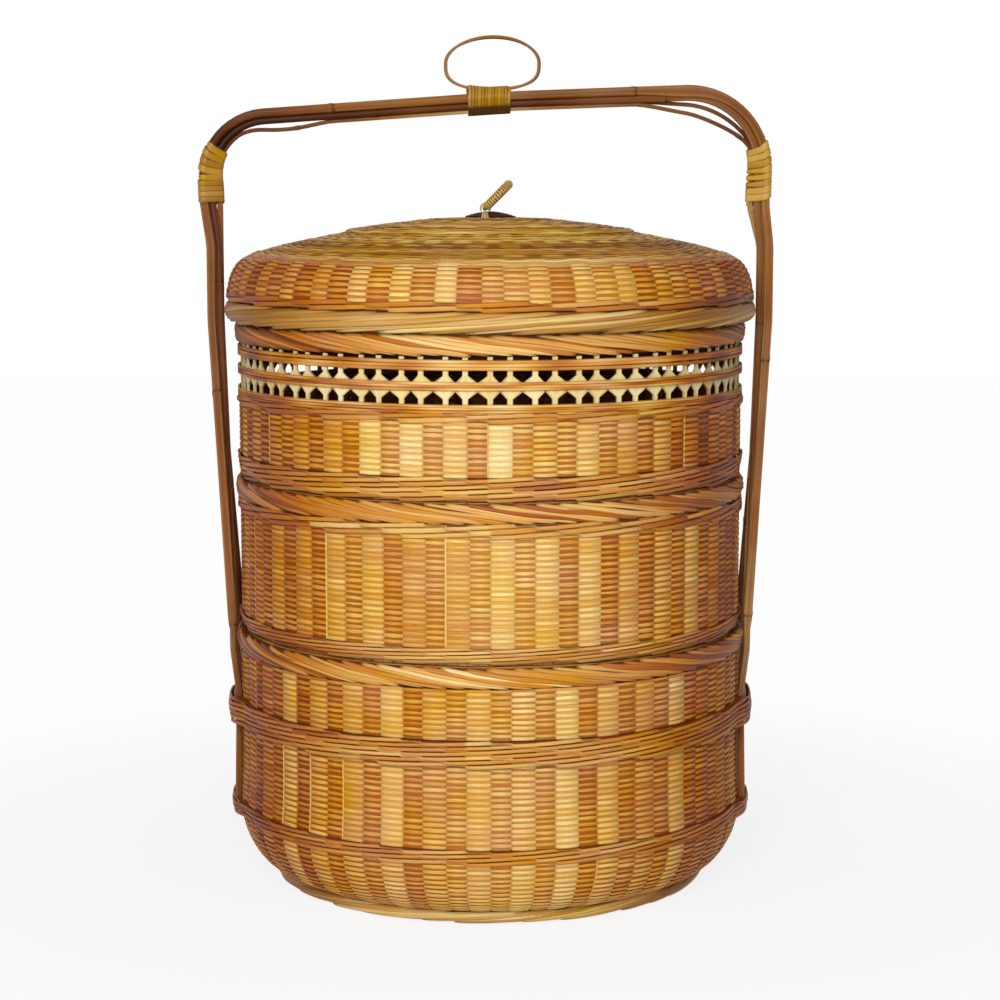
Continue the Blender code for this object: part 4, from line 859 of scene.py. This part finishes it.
def buildTieAndButton(settings):
    reach = settings["core"] / 2 + 0.0010
    centres, outs = [], []
    for strand in (-1, 0, 1):
        points, normals = [], []
        for step in range(21):
            angle = math.pi * (1 - (step - 3) / 14)
            if step < 3:
                points.append([settings["offset"] - reach, strand * 0.0011, pivot.z - 0.0018 + step * 0.0006])
                normals.append([-1.0, 0.0, 0.0])
            elif step > 17:
                points.append([settings["offset"] + reach, strand * 0.0011, pivot.z - (step - 17) * 0.0006])
                normals.append([1.0, 0.0, 0.0])
            else:
                points.append([settings["offset"] + reach * math.cos(angle), strand * 0.0011,
                               pivot.z + reach * math.sin(angle)])
                normals.append([math.cos(angle), 0.0, math.sin(angle)])
        centres.append(points)
        outs.append(normals)
    tie = {"centre": np.array(centres), "out": np.array(outs), "width": 0.0012, "depth": 0.0014, "tone": 0.7,
           "section": "small"}
    bottom, top = low("knob_button"), high("knob_button")
    lashing = []
    for strand in (-1, 0, 1):
        fan = np.linspace(0.0, 1.0, 12)
        reach = settings["buttonRadius"] * fan
        drop = top - 0.0003 - (top - bottom + 0.0002) * fan ** 2
        lashing.append(np.stack([settings["offset"] + strand * (0.0009 + 0.0007 * fan), -0.0012 - reach, drop], -1))
    lashed = {"centre": np.array(lashing), "out": np.tile([0.0, -0.4, 1.0], (3, 12, 1)), "width": 0.0014,
              "depth": 0.0009, "tone": np.array([[0.62], [0.74], [0.5]])}
    dressPiece("knob_tie_strands", [tie, lashed], "pale", 93, "lid", "golden_cane", "knob_tie")
    turns, steps = 7, 48
    angles = np.linspace(0, fullTurn * turns, turns * steps)
    share = angles / angles[-1]
    radius = (settings["buttonRadius"] - 0.0012) * (1 - share) + 0.0006
    rise = bottom - 0.0014 + (top - bottom + 0.0002) * (1 - (radius / settings["buttonRadius"]) ** 2)
    centre = np.stack([radius * np.cos(angles), radius * np.sin(angles), rise], -1)
    out = np.stack([0.45 * np.cos(angles), 0.45 * np.sin(angles), 0 * angles + 1.0], -1)
    coil = {"centre": centre[None], "out": out[None], "width": 0.0026, "depth": 0.0022, "tone": 0.5}
    dressPiece("knob_button_coil", [coil], "smoked", 94, "lid", "brown_cane", "knob_button")


buildKnob(knob)
buildTieAndButton(knob)
print("knob made")


# ---------- handle arch: the same centre line as the CAD canes, with finer steps

arch = {"footHalf": 0.1629, "leftHalf": 0.1755, "rightHalf": 0.1685, "leftRise": 0.0571, "rightClimb": 0.0185,
        "crownClimb": 0.0128, "crownOffset": 0.0100, "leftRadius": 0.0360, "rightRadius": 0.0440,
        "crownRadius": 0.9, "footHeight": 0.0452, "pitch": 0.0049, "drop": 0.0508, "liftRoom": 0.0330,
        "postClearance": 0.0014, "leftBow": 0.0030, "rightBow": 0.0085, "leftLength": 0.0620,
        "rightLength": 0.0900, "leftDelay": 0.0130,
        "shortBow": 0.45, "shortStart": 0.0600, "gap": 0.0003, "footDepth": 0.0040,
        "footRadius": 0.1623, "waistRadius": 0.1608, "innerTaper": 0.30, "innerClose": 0.25, "flatBend": 0.45,
        "leftBend": (9.2, 1.6, 1.6), "rightBend": (7.67, 1.25, 1.75), "shoulderLength": 0.0384}
caneSizes = {"front": 0.0056, "middle": 0.0049, "inner": 0.0038, "back": 0.0054, "short": 0.0027}
caneFootAngles = {"front": -9.0, "middle": -3.0, "inner": 3.0, "back": 9.0}
caneLidShares = {"front": (0.85, -1.60), "middle": (0.0, -0.54), "inner": (0.0, 0.54), "back": (0.85, 1.60)}
caneBundleShares = {"front": (1.0, -0.62), "middle": (0.0, -0.16), "inner": (-0.92, 0.16),
                    "back": (1.0, 0.62), "short": (-0.30, 0.92)}
leftHeight = high("lid_crown") + arch["leftRise"]
shoulderHeight = leftHeight - arch["drop"]


def archPieces():
    corners = [(Vector((-arch["footHalf"], arch["footHeight"])), 0.0),
               (Vector((-arch["leftHalf"], leftHeight)), arch["leftRadius"]),
               (Vector((arch["crownOffset"], leftHeight + arch["crownClimb"])), arch["crownRadius"]),
               (Vector((arch["rightHalf"], leftHeight + arch["rightClimb"])), arch["rightRadius"]),
               (Vector((arch["footHalf"], arch["footHeight"])), 0.0)]
    pieces = []
    start = corners[0][0]
    for (here, radius), (following, _) in zip(corners[1:], corners[2:]):
        incoming = (here - start).normalized()
        outgoing = (following - here).normalized()
        turn = incoming.angle(outgoing)
        cut = radius * math.tan(turn / 2)
        arcStart = here - incoming * cut
        inward = Vector((incoming.y, -incoming.x))
        pieces.append(((arcStart - start).length, start, incoming, None, 0.0))
        pieces.append((radius * turn, arcStart, incoming, arcStart + inward * radius, radius))
        start = here + outgoing * cut
    last = corners[-1][0]
    pieces.append(((last - start).length, start, (last - start).normalized(), None, 0.0))
    return pieces


archRuns = archPieces()
archLength = sum(run[0] for run in archRuns)


def archAt(distance):
    for index, (length, start, direction, centre, radius) in enumerate(archRuns):
        if distance <= length or index == len(archRuns) - 1:
            break
        distance -= length
    if centre is None:
        place, heading = start + direction * distance, direction
    else:
        turn = Matrix.Rotation(-distance / radius, 2)
        place, heading = centre + turn @ (start - centre), turn @ direction
    return (Vector((place.x, 0.0, place.y)), Vector((heading.x, 0.0, heading.y)),
            Vector((-heading.y, 0.0, heading.x)))


def postDistance(height, side):
    length, start, direction, _, _ = archRuns[0] if side < 0 else archRuns[-1]
    run = (height - start.y) / direction.y
    return run if side < 0 else archLength - length + run


def crossbarDistance(x):
    lowEnd, highEnd = 0.0, archLength
    for _ in range(40):
        middle = (lowEnd + highEnd) / 2
        if archAt(middle)[0].x < x:
            lowEnd = middle
        else:
            highEnd = middle
    return lowEnd


# Offsets of a cane from the arch's centre line on a post: along the outward normal and along Y
def postOffsets(cane, height, side):
    angle = math.radians(caneFootAngles[cane])
    bundle = caneBundleShares[cane]
    lidRadius = rims["lid"]["outer"] + arch["postClearance"] + caneSizes[cane] / 2
    lidShare, lidSideShare = caneLidShares[cane]
    keys = [(arch["footHeight"], arch["footRadius"] * math.cos(angle), arch["footRadius"] * math.sin(angle)),
            (level["waistTop"], arch["waistRadius"] * math.cos(angle), arch["waistRadius"] * math.sin(angle))]
    rimPlace = rims["base"]["outer"] + arch["footDepth"] / 2 + 0.0009
    for rimLevel in (level["baseTop"] - arch["gap"], high("base_rim") + arch["gap"]):
        keys.append((rimLevel, rimPlace * math.cos(angle), rimPlace * math.sin(angle)))
    for lidLevel in (low("lid_rim") - arch["gap"], level["side"] + arch["liftRoom"]):
        keys.append((lidLevel, lidRadius + lidShare * arch["pitch"], lidSideShare * arch["pitch"]))
    shoulder = archAt(postDistance(shoulderHeight, side))[0]
    keys.append((shoulderHeight, abs(shoulder.x) + bundle[0] * arch["pitch"], bundle[1] * arch["pitch"]))
    for (lowLevel, lowX, lowY), (highLevel, highX, highY) in zip(keys, keys[1:]):
        if height <= highLevel:
            share = max(0.0, (height - lowLevel) / (highLevel - lowLevel))
            return lowX + (highX - lowX) * share, lowY + (highY - lowY) * share
    return keys[-1][1], keys[-1][2]


# How far a thin cane strays inwards past each shoulder binding
def stray(cane, distance):
    if cane not in ("inner", "short"):
        return 0.0
    bound = arch["shoulderLength"]
    bows = ((-1, postDistance(shoulderHeight, -1) + bound + arch["leftDelay"], arch["leftLength"], arch["leftBow"]),
            (1, postDistance(shoulderHeight, 1) - bound, arch["rightLength"], arch["rightBow"]))
    for side, start, length, depth in bows:
        share = (distance - start) * -side / length
        if 0.0 < share < 1.0:
            full, rise, fall = arch["leftBend"] if side < 0 else arch["rightBend"]
            bend = full * share ** rise * (1.0 - share) ** fall
            return depth * (1.0 if cane == "inner" else arch["shortBow"]) * bend
    return 0.0


def caneCentre(cane, distance):
    place, _, outward = archAt(distance)
    bound = (postDistance(shoulderHeight, -1), postDistance(shoulderHeight, 1))
    if cane != "short" and not bound[0] <= distance <= bound[1]:
        side = -1 if distance < bound[0] else 1
        across, beside = postOffsets(cane, place.z, side)
        return Vector((side * across, beside, place.z))
    share, sideShare = caneBundleShares[cane]
    if cane == "inner":
        share += arch["innerClose"] * min(1.0, max(0.0, (place.z - shoulderHeight - 0.012) / 0.02))
    return (place + outward * (share * arch["pitch"] - stray(cane, distance))
            + Vector((0.0, sideShare * arch["pitch"], 0.0)))


# A round cane with swollen nodes; below the base's rim it is shaved flat
def caneStrand(cane, distances, nodes):
    centres = np.array([list(caneCentre(cane, distance)) for distance in distances])
    outs = np.array([list(archAt(distance)[2]) for distance in distances])
    size = caneSizes[cane]
    width = np.full(len(distances), size)
    tuck = np.zeros(len(distances))
    for node in nodes:
        away = np.abs(distances - node)
        width = width + 0.0007 * np.exp(-(away / 0.0016) ** 2)
        tuck = np.maximum(tuck, 0.8 * np.exp(-((distances - node - 0.0018) / 0.0010) ** 2))
    onTop = np.clip((centres[:, 2] - shoulderHeight) / 0.03, 0.0, 1.0)
    if cane == "inner":
        width = width * (1 - arch["innerTaper"] * onTop)
    topTones, postTones = caneTones[cane]
    onPost = np.where(centres[:, 0] < 0, *postTones)
    tone = onPost + (np.interp(centres[:, 0], toneKnots, topTones) - onPost) * onTop
    shaved = np.clip((0.165 - centres[:, 2]) / 0.006, 0.0, 1.0)
    depth = width * (1 - shaved) + np.minimum(width, arch["footDepth"]) * shaved
    if cane == "front":
        flat = arch["flatBend"] * size * np.exp(-((centres[:, 0] - 0.124) / 0.020) ** 2) * onTop
        centres = centres - outs * flat[:, None] / 2
        depth = depth + flat
    return {"centre": centres[None], "out": outs[None], "width": width[None], "depth": depth[None],
            "tone": tone[None], "tuck": tuck[None], "section": "round"}


# Tones along the top from left to right, then on the left and the right post; the low tones at the left bend are
# painted shade
toneKnots = (-0.165, -0.12, 0.0, 0.10, 0.155)
caneTones = {"front": ((0.34, 0.56, 0.58, 0.54, 0.50), (0.52, 0.62)),
             "middle": ((0.12, 0.26, 0.30, 0.46, 0.52), (0.38, 0.54)),
             "inner": ((0.36, 0.46, 0.80, 0.44, 0.36), (0.56, 0.72)),
             "back": ((0.30, 0.40, 0.44, 0.44, 0.44), (0.36, 0.48)),
             "short": ((0.40, 0.40, 0.42, 0.42, 0.36), (0.5, 0.5))}
caneNodes = {"front": (0.115, 0.262, crossbarDistance(-0.0990), crossbarDistance(0.0892), 0.903, 1.063),
             "middle": (0.160, 0.330, 0.520, 0.700, 0.880), "inner": (0.200, 0.470, 0.760, 0.980),
             "back": (0.090, 0.300, 0.480, 0.660, 0.830, 1.010)}


def buildCanes():
    for index, cane in enumerate(("front", "middle", "inner", "back")):
        fine = np.sort(np.concatenate([np.linspace(0, archLength, 260)] + [
            node + np.linspace(-0.004, 0.004, 9) for node in caneNodes[cane]]))
        strand = caneStrand(cane, fine, caneNodes[cane])
        dressPiece("handle_" + cane + "_round", [strand], "cane", 101 + index, "base",
               "brown_cane", "handle_" + cane + "_cane")
    start = crossbarDistance(arch["shortStart"])
    distances = np.linspace(start, postDistance(shoulderHeight, 1) + arch["gap"], 90)
    strand = caneStrand("short", distances, ())
    dressPiece("handle_short_round", [strand], "cane", 105, "base", "brown_cane",
           "handle_short_cane")


buildCanes()
print("canes bent")


# ---------- bindings and hanging loop

loop = {"halfWidth": 0.0293, "height": 0.0328, "offset": 0.0015, "width": 0.0042, "depth": 0.0022,
        "endShare": 0.10, "footShare": 0.60, "strand": 0.0021}
binding = {"gap": 0.0002, "depth": 0.0009, "grip": -0.0005, "gripTurns": 8, "gripPitch": 0.0033}


def loopSeatLevel(x):
    place, _, outward = archAt(crossbarDistance(x))
    top = caneBundleShares["front"][0] * arch["pitch"] + caneSizes["front"] / 2
    return (place + outward * (top + arch["gap"] + loop["depth"] / 2)).z


def loopPoint(angle):
    halfHeight = loop["height"] / 2
    x = loop["offset"] + loop["halfWidth"] * math.cos(angle)
    rise = math.sin(angle)
    if rise < 0:
        rise = -((-rise) ** loop["footShare"])
    height = loopSeatLevel(loop["offset"]) + halfHeight + halfHeight * rise
    if rise < 0 and abs(x - loop["offset"]) < loop["halfWidth"] / 2:
        height = max(height, loopSeatLevel(x))
    return Vector((x, 0.0, height))


def loopCentreLine(x):
    share = min(1.0, max(-1.0, (x - loop["offset"]) / loop["halfWidth"]))
    return loopPoint(-math.acos(share))


# Circles (outward, beside, radius) that a binding passes round at a distance along the arch
def boundCircles(distance):
    place, _, outward = archAt(distance)
    circles = []
    canes = ["front", "middle", "inner", "back"]
    if distance > crossbarDistance(arch["shortStart"]):
        canes.append("short")
    for cane in canes:
        centre = caneCentre(cane, distance) - place
        circles.append((centre.dot(outward), centre.y, caneSizes[cane] / 2))
    if abs(place.x - binding["grip"]) < binding["gripTurns"] * binding["gripPitch"]:
        rise = (loopCentreLine(place.x) - place).dot(outward)
        top = rise + loop["depth"] / 2
        circles += [(top, -loop["width"] / 2, 0.0), (top, loop["width"] / 2, 0.0)]
    return circles


# A flat strip wound tight round the bundle; slant leans each wrap along the arch as it crosses the front
def windStrip(start, turns, pitch, width, settings, steps=28):
    rng = np.random.default_rng(settings["seed"])
    count = int(turns * steps)
    centres, outs, widths, tones, rises = [], [], [], [], []
    for index in range(count + 1):
        angle = fullTurn * index / steps
        distance = start + pitch * index / steps + settings["slant"] * math.cos(angle)
        place, along, outward = archAt(distance)
        heading = (math.cos(angle), math.sin(angle))
        far = max(boundCircles(distance), key=lambda circle: circle[0] * heading[0] + circle[1] * heading[1]
                  + circle[2])
        reach = far[2] + binding["gap"] + binding["depth"] / 2
        fromEnd = min(index, count - index) / (steps * 0.3)
        reach -= 0.0008 * max(0.0, 1.0 - fromEnd)
        across = outward * heading[0] + Vector((0.0, heading[1], 0.0))
        centres.append(list(place + outward * far[0] + Vector((0.0, far[1], 0.0)) + across * reach))
        outs.append(list(across))
        first, last, gap = settings["slits"]
        slit = gap * max(0.0, -heading[0]) if first <= index / steps < last else 0.0
        widths.append(width * (1 + 0.06 * math.sin(index * 0.37 + settings["seed"])) * min(1.0, 0.3 + fromEnd)
                      * (1 - slit))
        tones.append(settings["tone"] + 0.10 * math.sin(index / steps * 2.1 + settings["seed"])
                     + 0.02 * rng.normal())
        rises.append(far[0] + heading[0] * reach)
    smooth = np.array(centres)
    for _ in range(2):
        smooth[1:-1] = (smooth[:-2] + 2 * smooth[1:-1] + smooth[2:]) / 4
    finer = np.linspace(0, count, 3 * count + 1)

    def between(values):
        columns = np.array(values).reshape(count + 1, -1)
        return np.stack([np.interp(finer, np.arange(count + 1), column) for column in columns.T], -1)

    # Painted shade: wraps darken on the underside of the bundle
    under = np.clip((settings["shadeBelow"] - between(rises)[:, 0]) / 0.0012, 0.0, 1.0)
    return {"centre": between(smooth)[None], "out": between(outs)[None], "width": between(widths)[None, :, 0],
            "depth": binding["depth"], "tone": between(tones)[None, :, 0], "tuck": 0.95 * under[None]}


everyWind = {"slits": (0, 0, 0.0), "shadeBelow": -1.0}
leftLowWind = {**everyWind, "seed": 111, "slant": -0.0005, "tone": 0.44}
leftHighWind = {**everyWind, "seed": 114, "slant": 0.0007, "tone": 0.48}
rightWind = {**everyWind, "seed": 112, "slant": -0.0026, "tone": 0.66, "slits": (3.2, 6.2, 0.45)}
gripWind = {**everyWind, "seed": 113, "slant": 0.0003, "tone": 0.46, "shadeBelow": 0.0012}
leftStart = postDistance(shoulderHeight, -1)
rightStart = postDistance(shoulderHeight, 1) - arch["shoulderLength"]
gripStart = crossbarDistance(binding["grip"]) - binding["gripTurns"] * binding["gripPitch"] / 2
leftWraps = [windStrip(leftStart + 0.0018, 5, 0.0034, 0.0038, leftLowWind),
             windStrip(leftStart + 0.0192, 4, 0.0043, 0.0047, leftHighWind)]
dressPiece("left_shoulder_wraps", leftWraps, "binding", 111, "base", "golden_cane",
       "left_shoulder_binding")
dressPiece("right_shoulder_wraps", [windStrip(rightStart, 8.5, 0.0352 / 8.5, 0.0045, rightWind)],
                  "binding", 112, "base", "golden_cane", "right_shoulder_binding")
gripLength = binding["gripTurns"] * binding["gripPitch"]
dressPiece("grip_wraps", [windStrip(gripStart, 13, gripLength / 13, 0.0022, gripWind)],
                  "binding", 113, "base", "golden_cane", "grip_binding")


# Two thin round strands side by side, bent to an oval, with their ends under the grip's wraps
def buildLoop(settings):
    first = -math.pi / 2 + settings["endShare"] * math.pi / 2
    sweep = fullTurn - 2 * settings["endShare"] * math.pi / 2
    angles = first + sweep * np.linspace(0, 1, 121)
    line = np.array([list(loopPoint(angle)) for angle in angles])
    ahead = np.gradient(line, axis=0)
    ahead /= np.linalg.norm(ahead, axis=1, keepdims=True)
    outward = np.stack([ahead[:, 2], 0 * ahead[:, 0], -ahead[:, 0]], -1)
    centres = []
    for side in (-1, 1):
        rise = 0.00035 * np.sin(angles * 2 + side) - 0.0002
        centres.append(line + outward * rise[:, None] + np.array([0.0, side * 0.00105, 0.0]))
    strands = {"centre": np.array(centres), "out": np.array([outward, outward]), "width": settings["strand"],
               "depth": settings["strand"] * 0.85, "tone": np.array([[0.66], [0.46]]), "section": "round"}
    dressPiece("hanging_loop_strands", [strands], "cane", 121, "base", "brown_cane",
           "hanging_loop")


buildLoop(loop)
print("bindings wound")


# ---------- floors and hidden hoops keep their CAD shapes

def dress(node, material):
    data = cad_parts[node].data
    data.materials.clear()
    data.materials.append(material)


for node in ("base_floor", "lower_tray_floor", "upper_tray_floor"):
    dress(node, wovenFloor)
for node in ("lower_tray_nest_hoop", "upper_tray_nest_hoop", "lid_nest_hoop"):
    dress(node, hoopWood)


# ---------- floor, backdrop, light and camera

# Plain white paper: the camera sees white, fading to grey towards the foot as a ring of painted shade round the
# object, and the paper still takes the object's shadow
def makePaper(name, settings):
    material, add, shader = newMaterial(name)
    shader.inputs["Base Color"].default_value = toLinear(settings["colour"])
    shader.inputs["Roughness"].default_value = settings["roughness"]
    path = add("LightPath", {}, {})
    seen = add("Math", {"operation": "MAXIMUM"}, {0: path.outputs["Is Camera Ray"],
                                                                      1: path.outputs["Is Glossy Ray"]})
    through = add("Math", {"operation": "MAXIMUM"}, {0: seen,
                                                                         1: path.outputs["Is Transmission Ray"]})
    place = add("TexCoord", {}, {})
    away = add("VectorMath", {"operation": "LENGTH"}, {0: place.outputs["Object"]})
    # Less emitted white near the object: painted shade round the foot
    share = add("MapRange", {"interpolation_type": "SMOOTHSTEP", "From Min": settings["near"],
                                                 "From Max": settings["far"], "To Min": settings["nearWhite"],
                                                 "To Max": settings["farWhite"]}, {"Value": away.outputs["Value"]})
    part = add("Math", {"operation": "MULTIPLY"}, {0: through,
                                                                       1: share})
    white = add("Emission", {"Color": (1.0, 1.0, 1.0, 1.0), "Strength": 1.0}, {})
    mixed = add("MixShader", {}, {0: part, 1: shader,
                                                      2: white})
    setNode(shader.id_data.nodes["Material Output"], {}, {"Surface": mixed})
    return material


paper = {"colour": "#f6f6f6", "roughness": 0.9, "near": 0.15, "far": 0.65, "nearWhite": 0.84,
         "farWhite": 0.98, "worldStrength": 0.14, "reach": 4.0}


def makeStage():
    mesh = bpy.data.meshes.new("floor")
    reach = paper["reach"]
    corners = [(-reach, -reach, 0.0), (reach, -reach, 0.0), (reach, reach, 0.0), (-reach, reach, 0.0)]
    mesh.from_pydata(corners, [], [(0, 1, 2, 3)])
    mesh.materials.append(makePaper("White paper floor", paper))
    floor = bpy.data.objects.new("floor", mesh)
    bpy.context.scene.collection.objects.link(floor)


def makeWorld():
    world = bpy.data.worlds.new("Plain studio")
    world.use_nodes = True
    tree = world.node_tree
    tree.nodes.clear()
    add = partial(addNode, tree)
    path = add("LightPath", {}, {})
    seen = add("Math", {"operation": "MAXIMUM"}, {0: path.outputs["Is Camera Ray"],
                                                                      1: path.outputs["Is Glossy Ray"]})
    through = add("Math", {"operation": "MAXIMUM"}, {0: seen,
                                                                         1: path.outputs["Is Transmission Ray"]})
    dim = add("Background", {"Color": (1.0, 1.0, 1.0, 1.0), "Strength": paper["worldStrength"]}, {})
    white = add("Background", {"Color": (1.0, 1.0, 1.0, 1.0), "Strength": 1.0}, {})
    mixed = add("MixShader", {}, {0: through, 1: dim,
                                                      2: white})
    add("OutputWorld", {}, {"Surface": mixed})
    bpy.context.scene.world = world


def makeLamp(name, place, target, size, power):
    data = bpy.data.lights.new(name, "AREA")
    data.shape = "SQUARE"
    data.size = size
    data.energy = power
    lamp = bpy.data.objects.new(name, data)
    lamp.location = place
    lamp.rotation_euler = (Vector(target) - Vector(place)).to_track_quat("-Z", "Y").to_euler()
    bpy.context.scene.collection.objects.link(lamp)


lamps = {"keyPower": 37.5, "fillPower": 1.0, "keyPlace": (-0.25, -1.9, 0.95), "fillPlace": (1.4, -1.5, 0.9)}
makeStage()
makeWorld()
makeLamp("key lamp", lamps["keyPlace"], (0.0, 0.0, 0.22), 1.1, lamps["keyPower"])
makeLamp("fill lamp", lamps["fillPlace"], (0.0, 0.0, 0.22), 1.2, lamps["fillPower"])

cameraSettings = {"place": (0.0063, -1.58, 0.4434), "pitch": 7.41, "lens": 89.93}
cameraData = bpy.data.cameras.new("camera")
cameraData.sensor_width = 36.0
cameraData.lens = cameraSettings["lens"]
camera = bpy.data.objects.new("camera", cameraData)
camera.location = cameraSettings["place"]
camera.rotation_euler = (math.radians(90 - cameraSettings["pitch"]), 0.0, 0.0)
bpy.context.scene.collection.objects.link(camera)
bpy.context.scene.camera = camera
bpy.context.scene.view_settings.view_transform = "Standard"
print("stage, light and camera set")
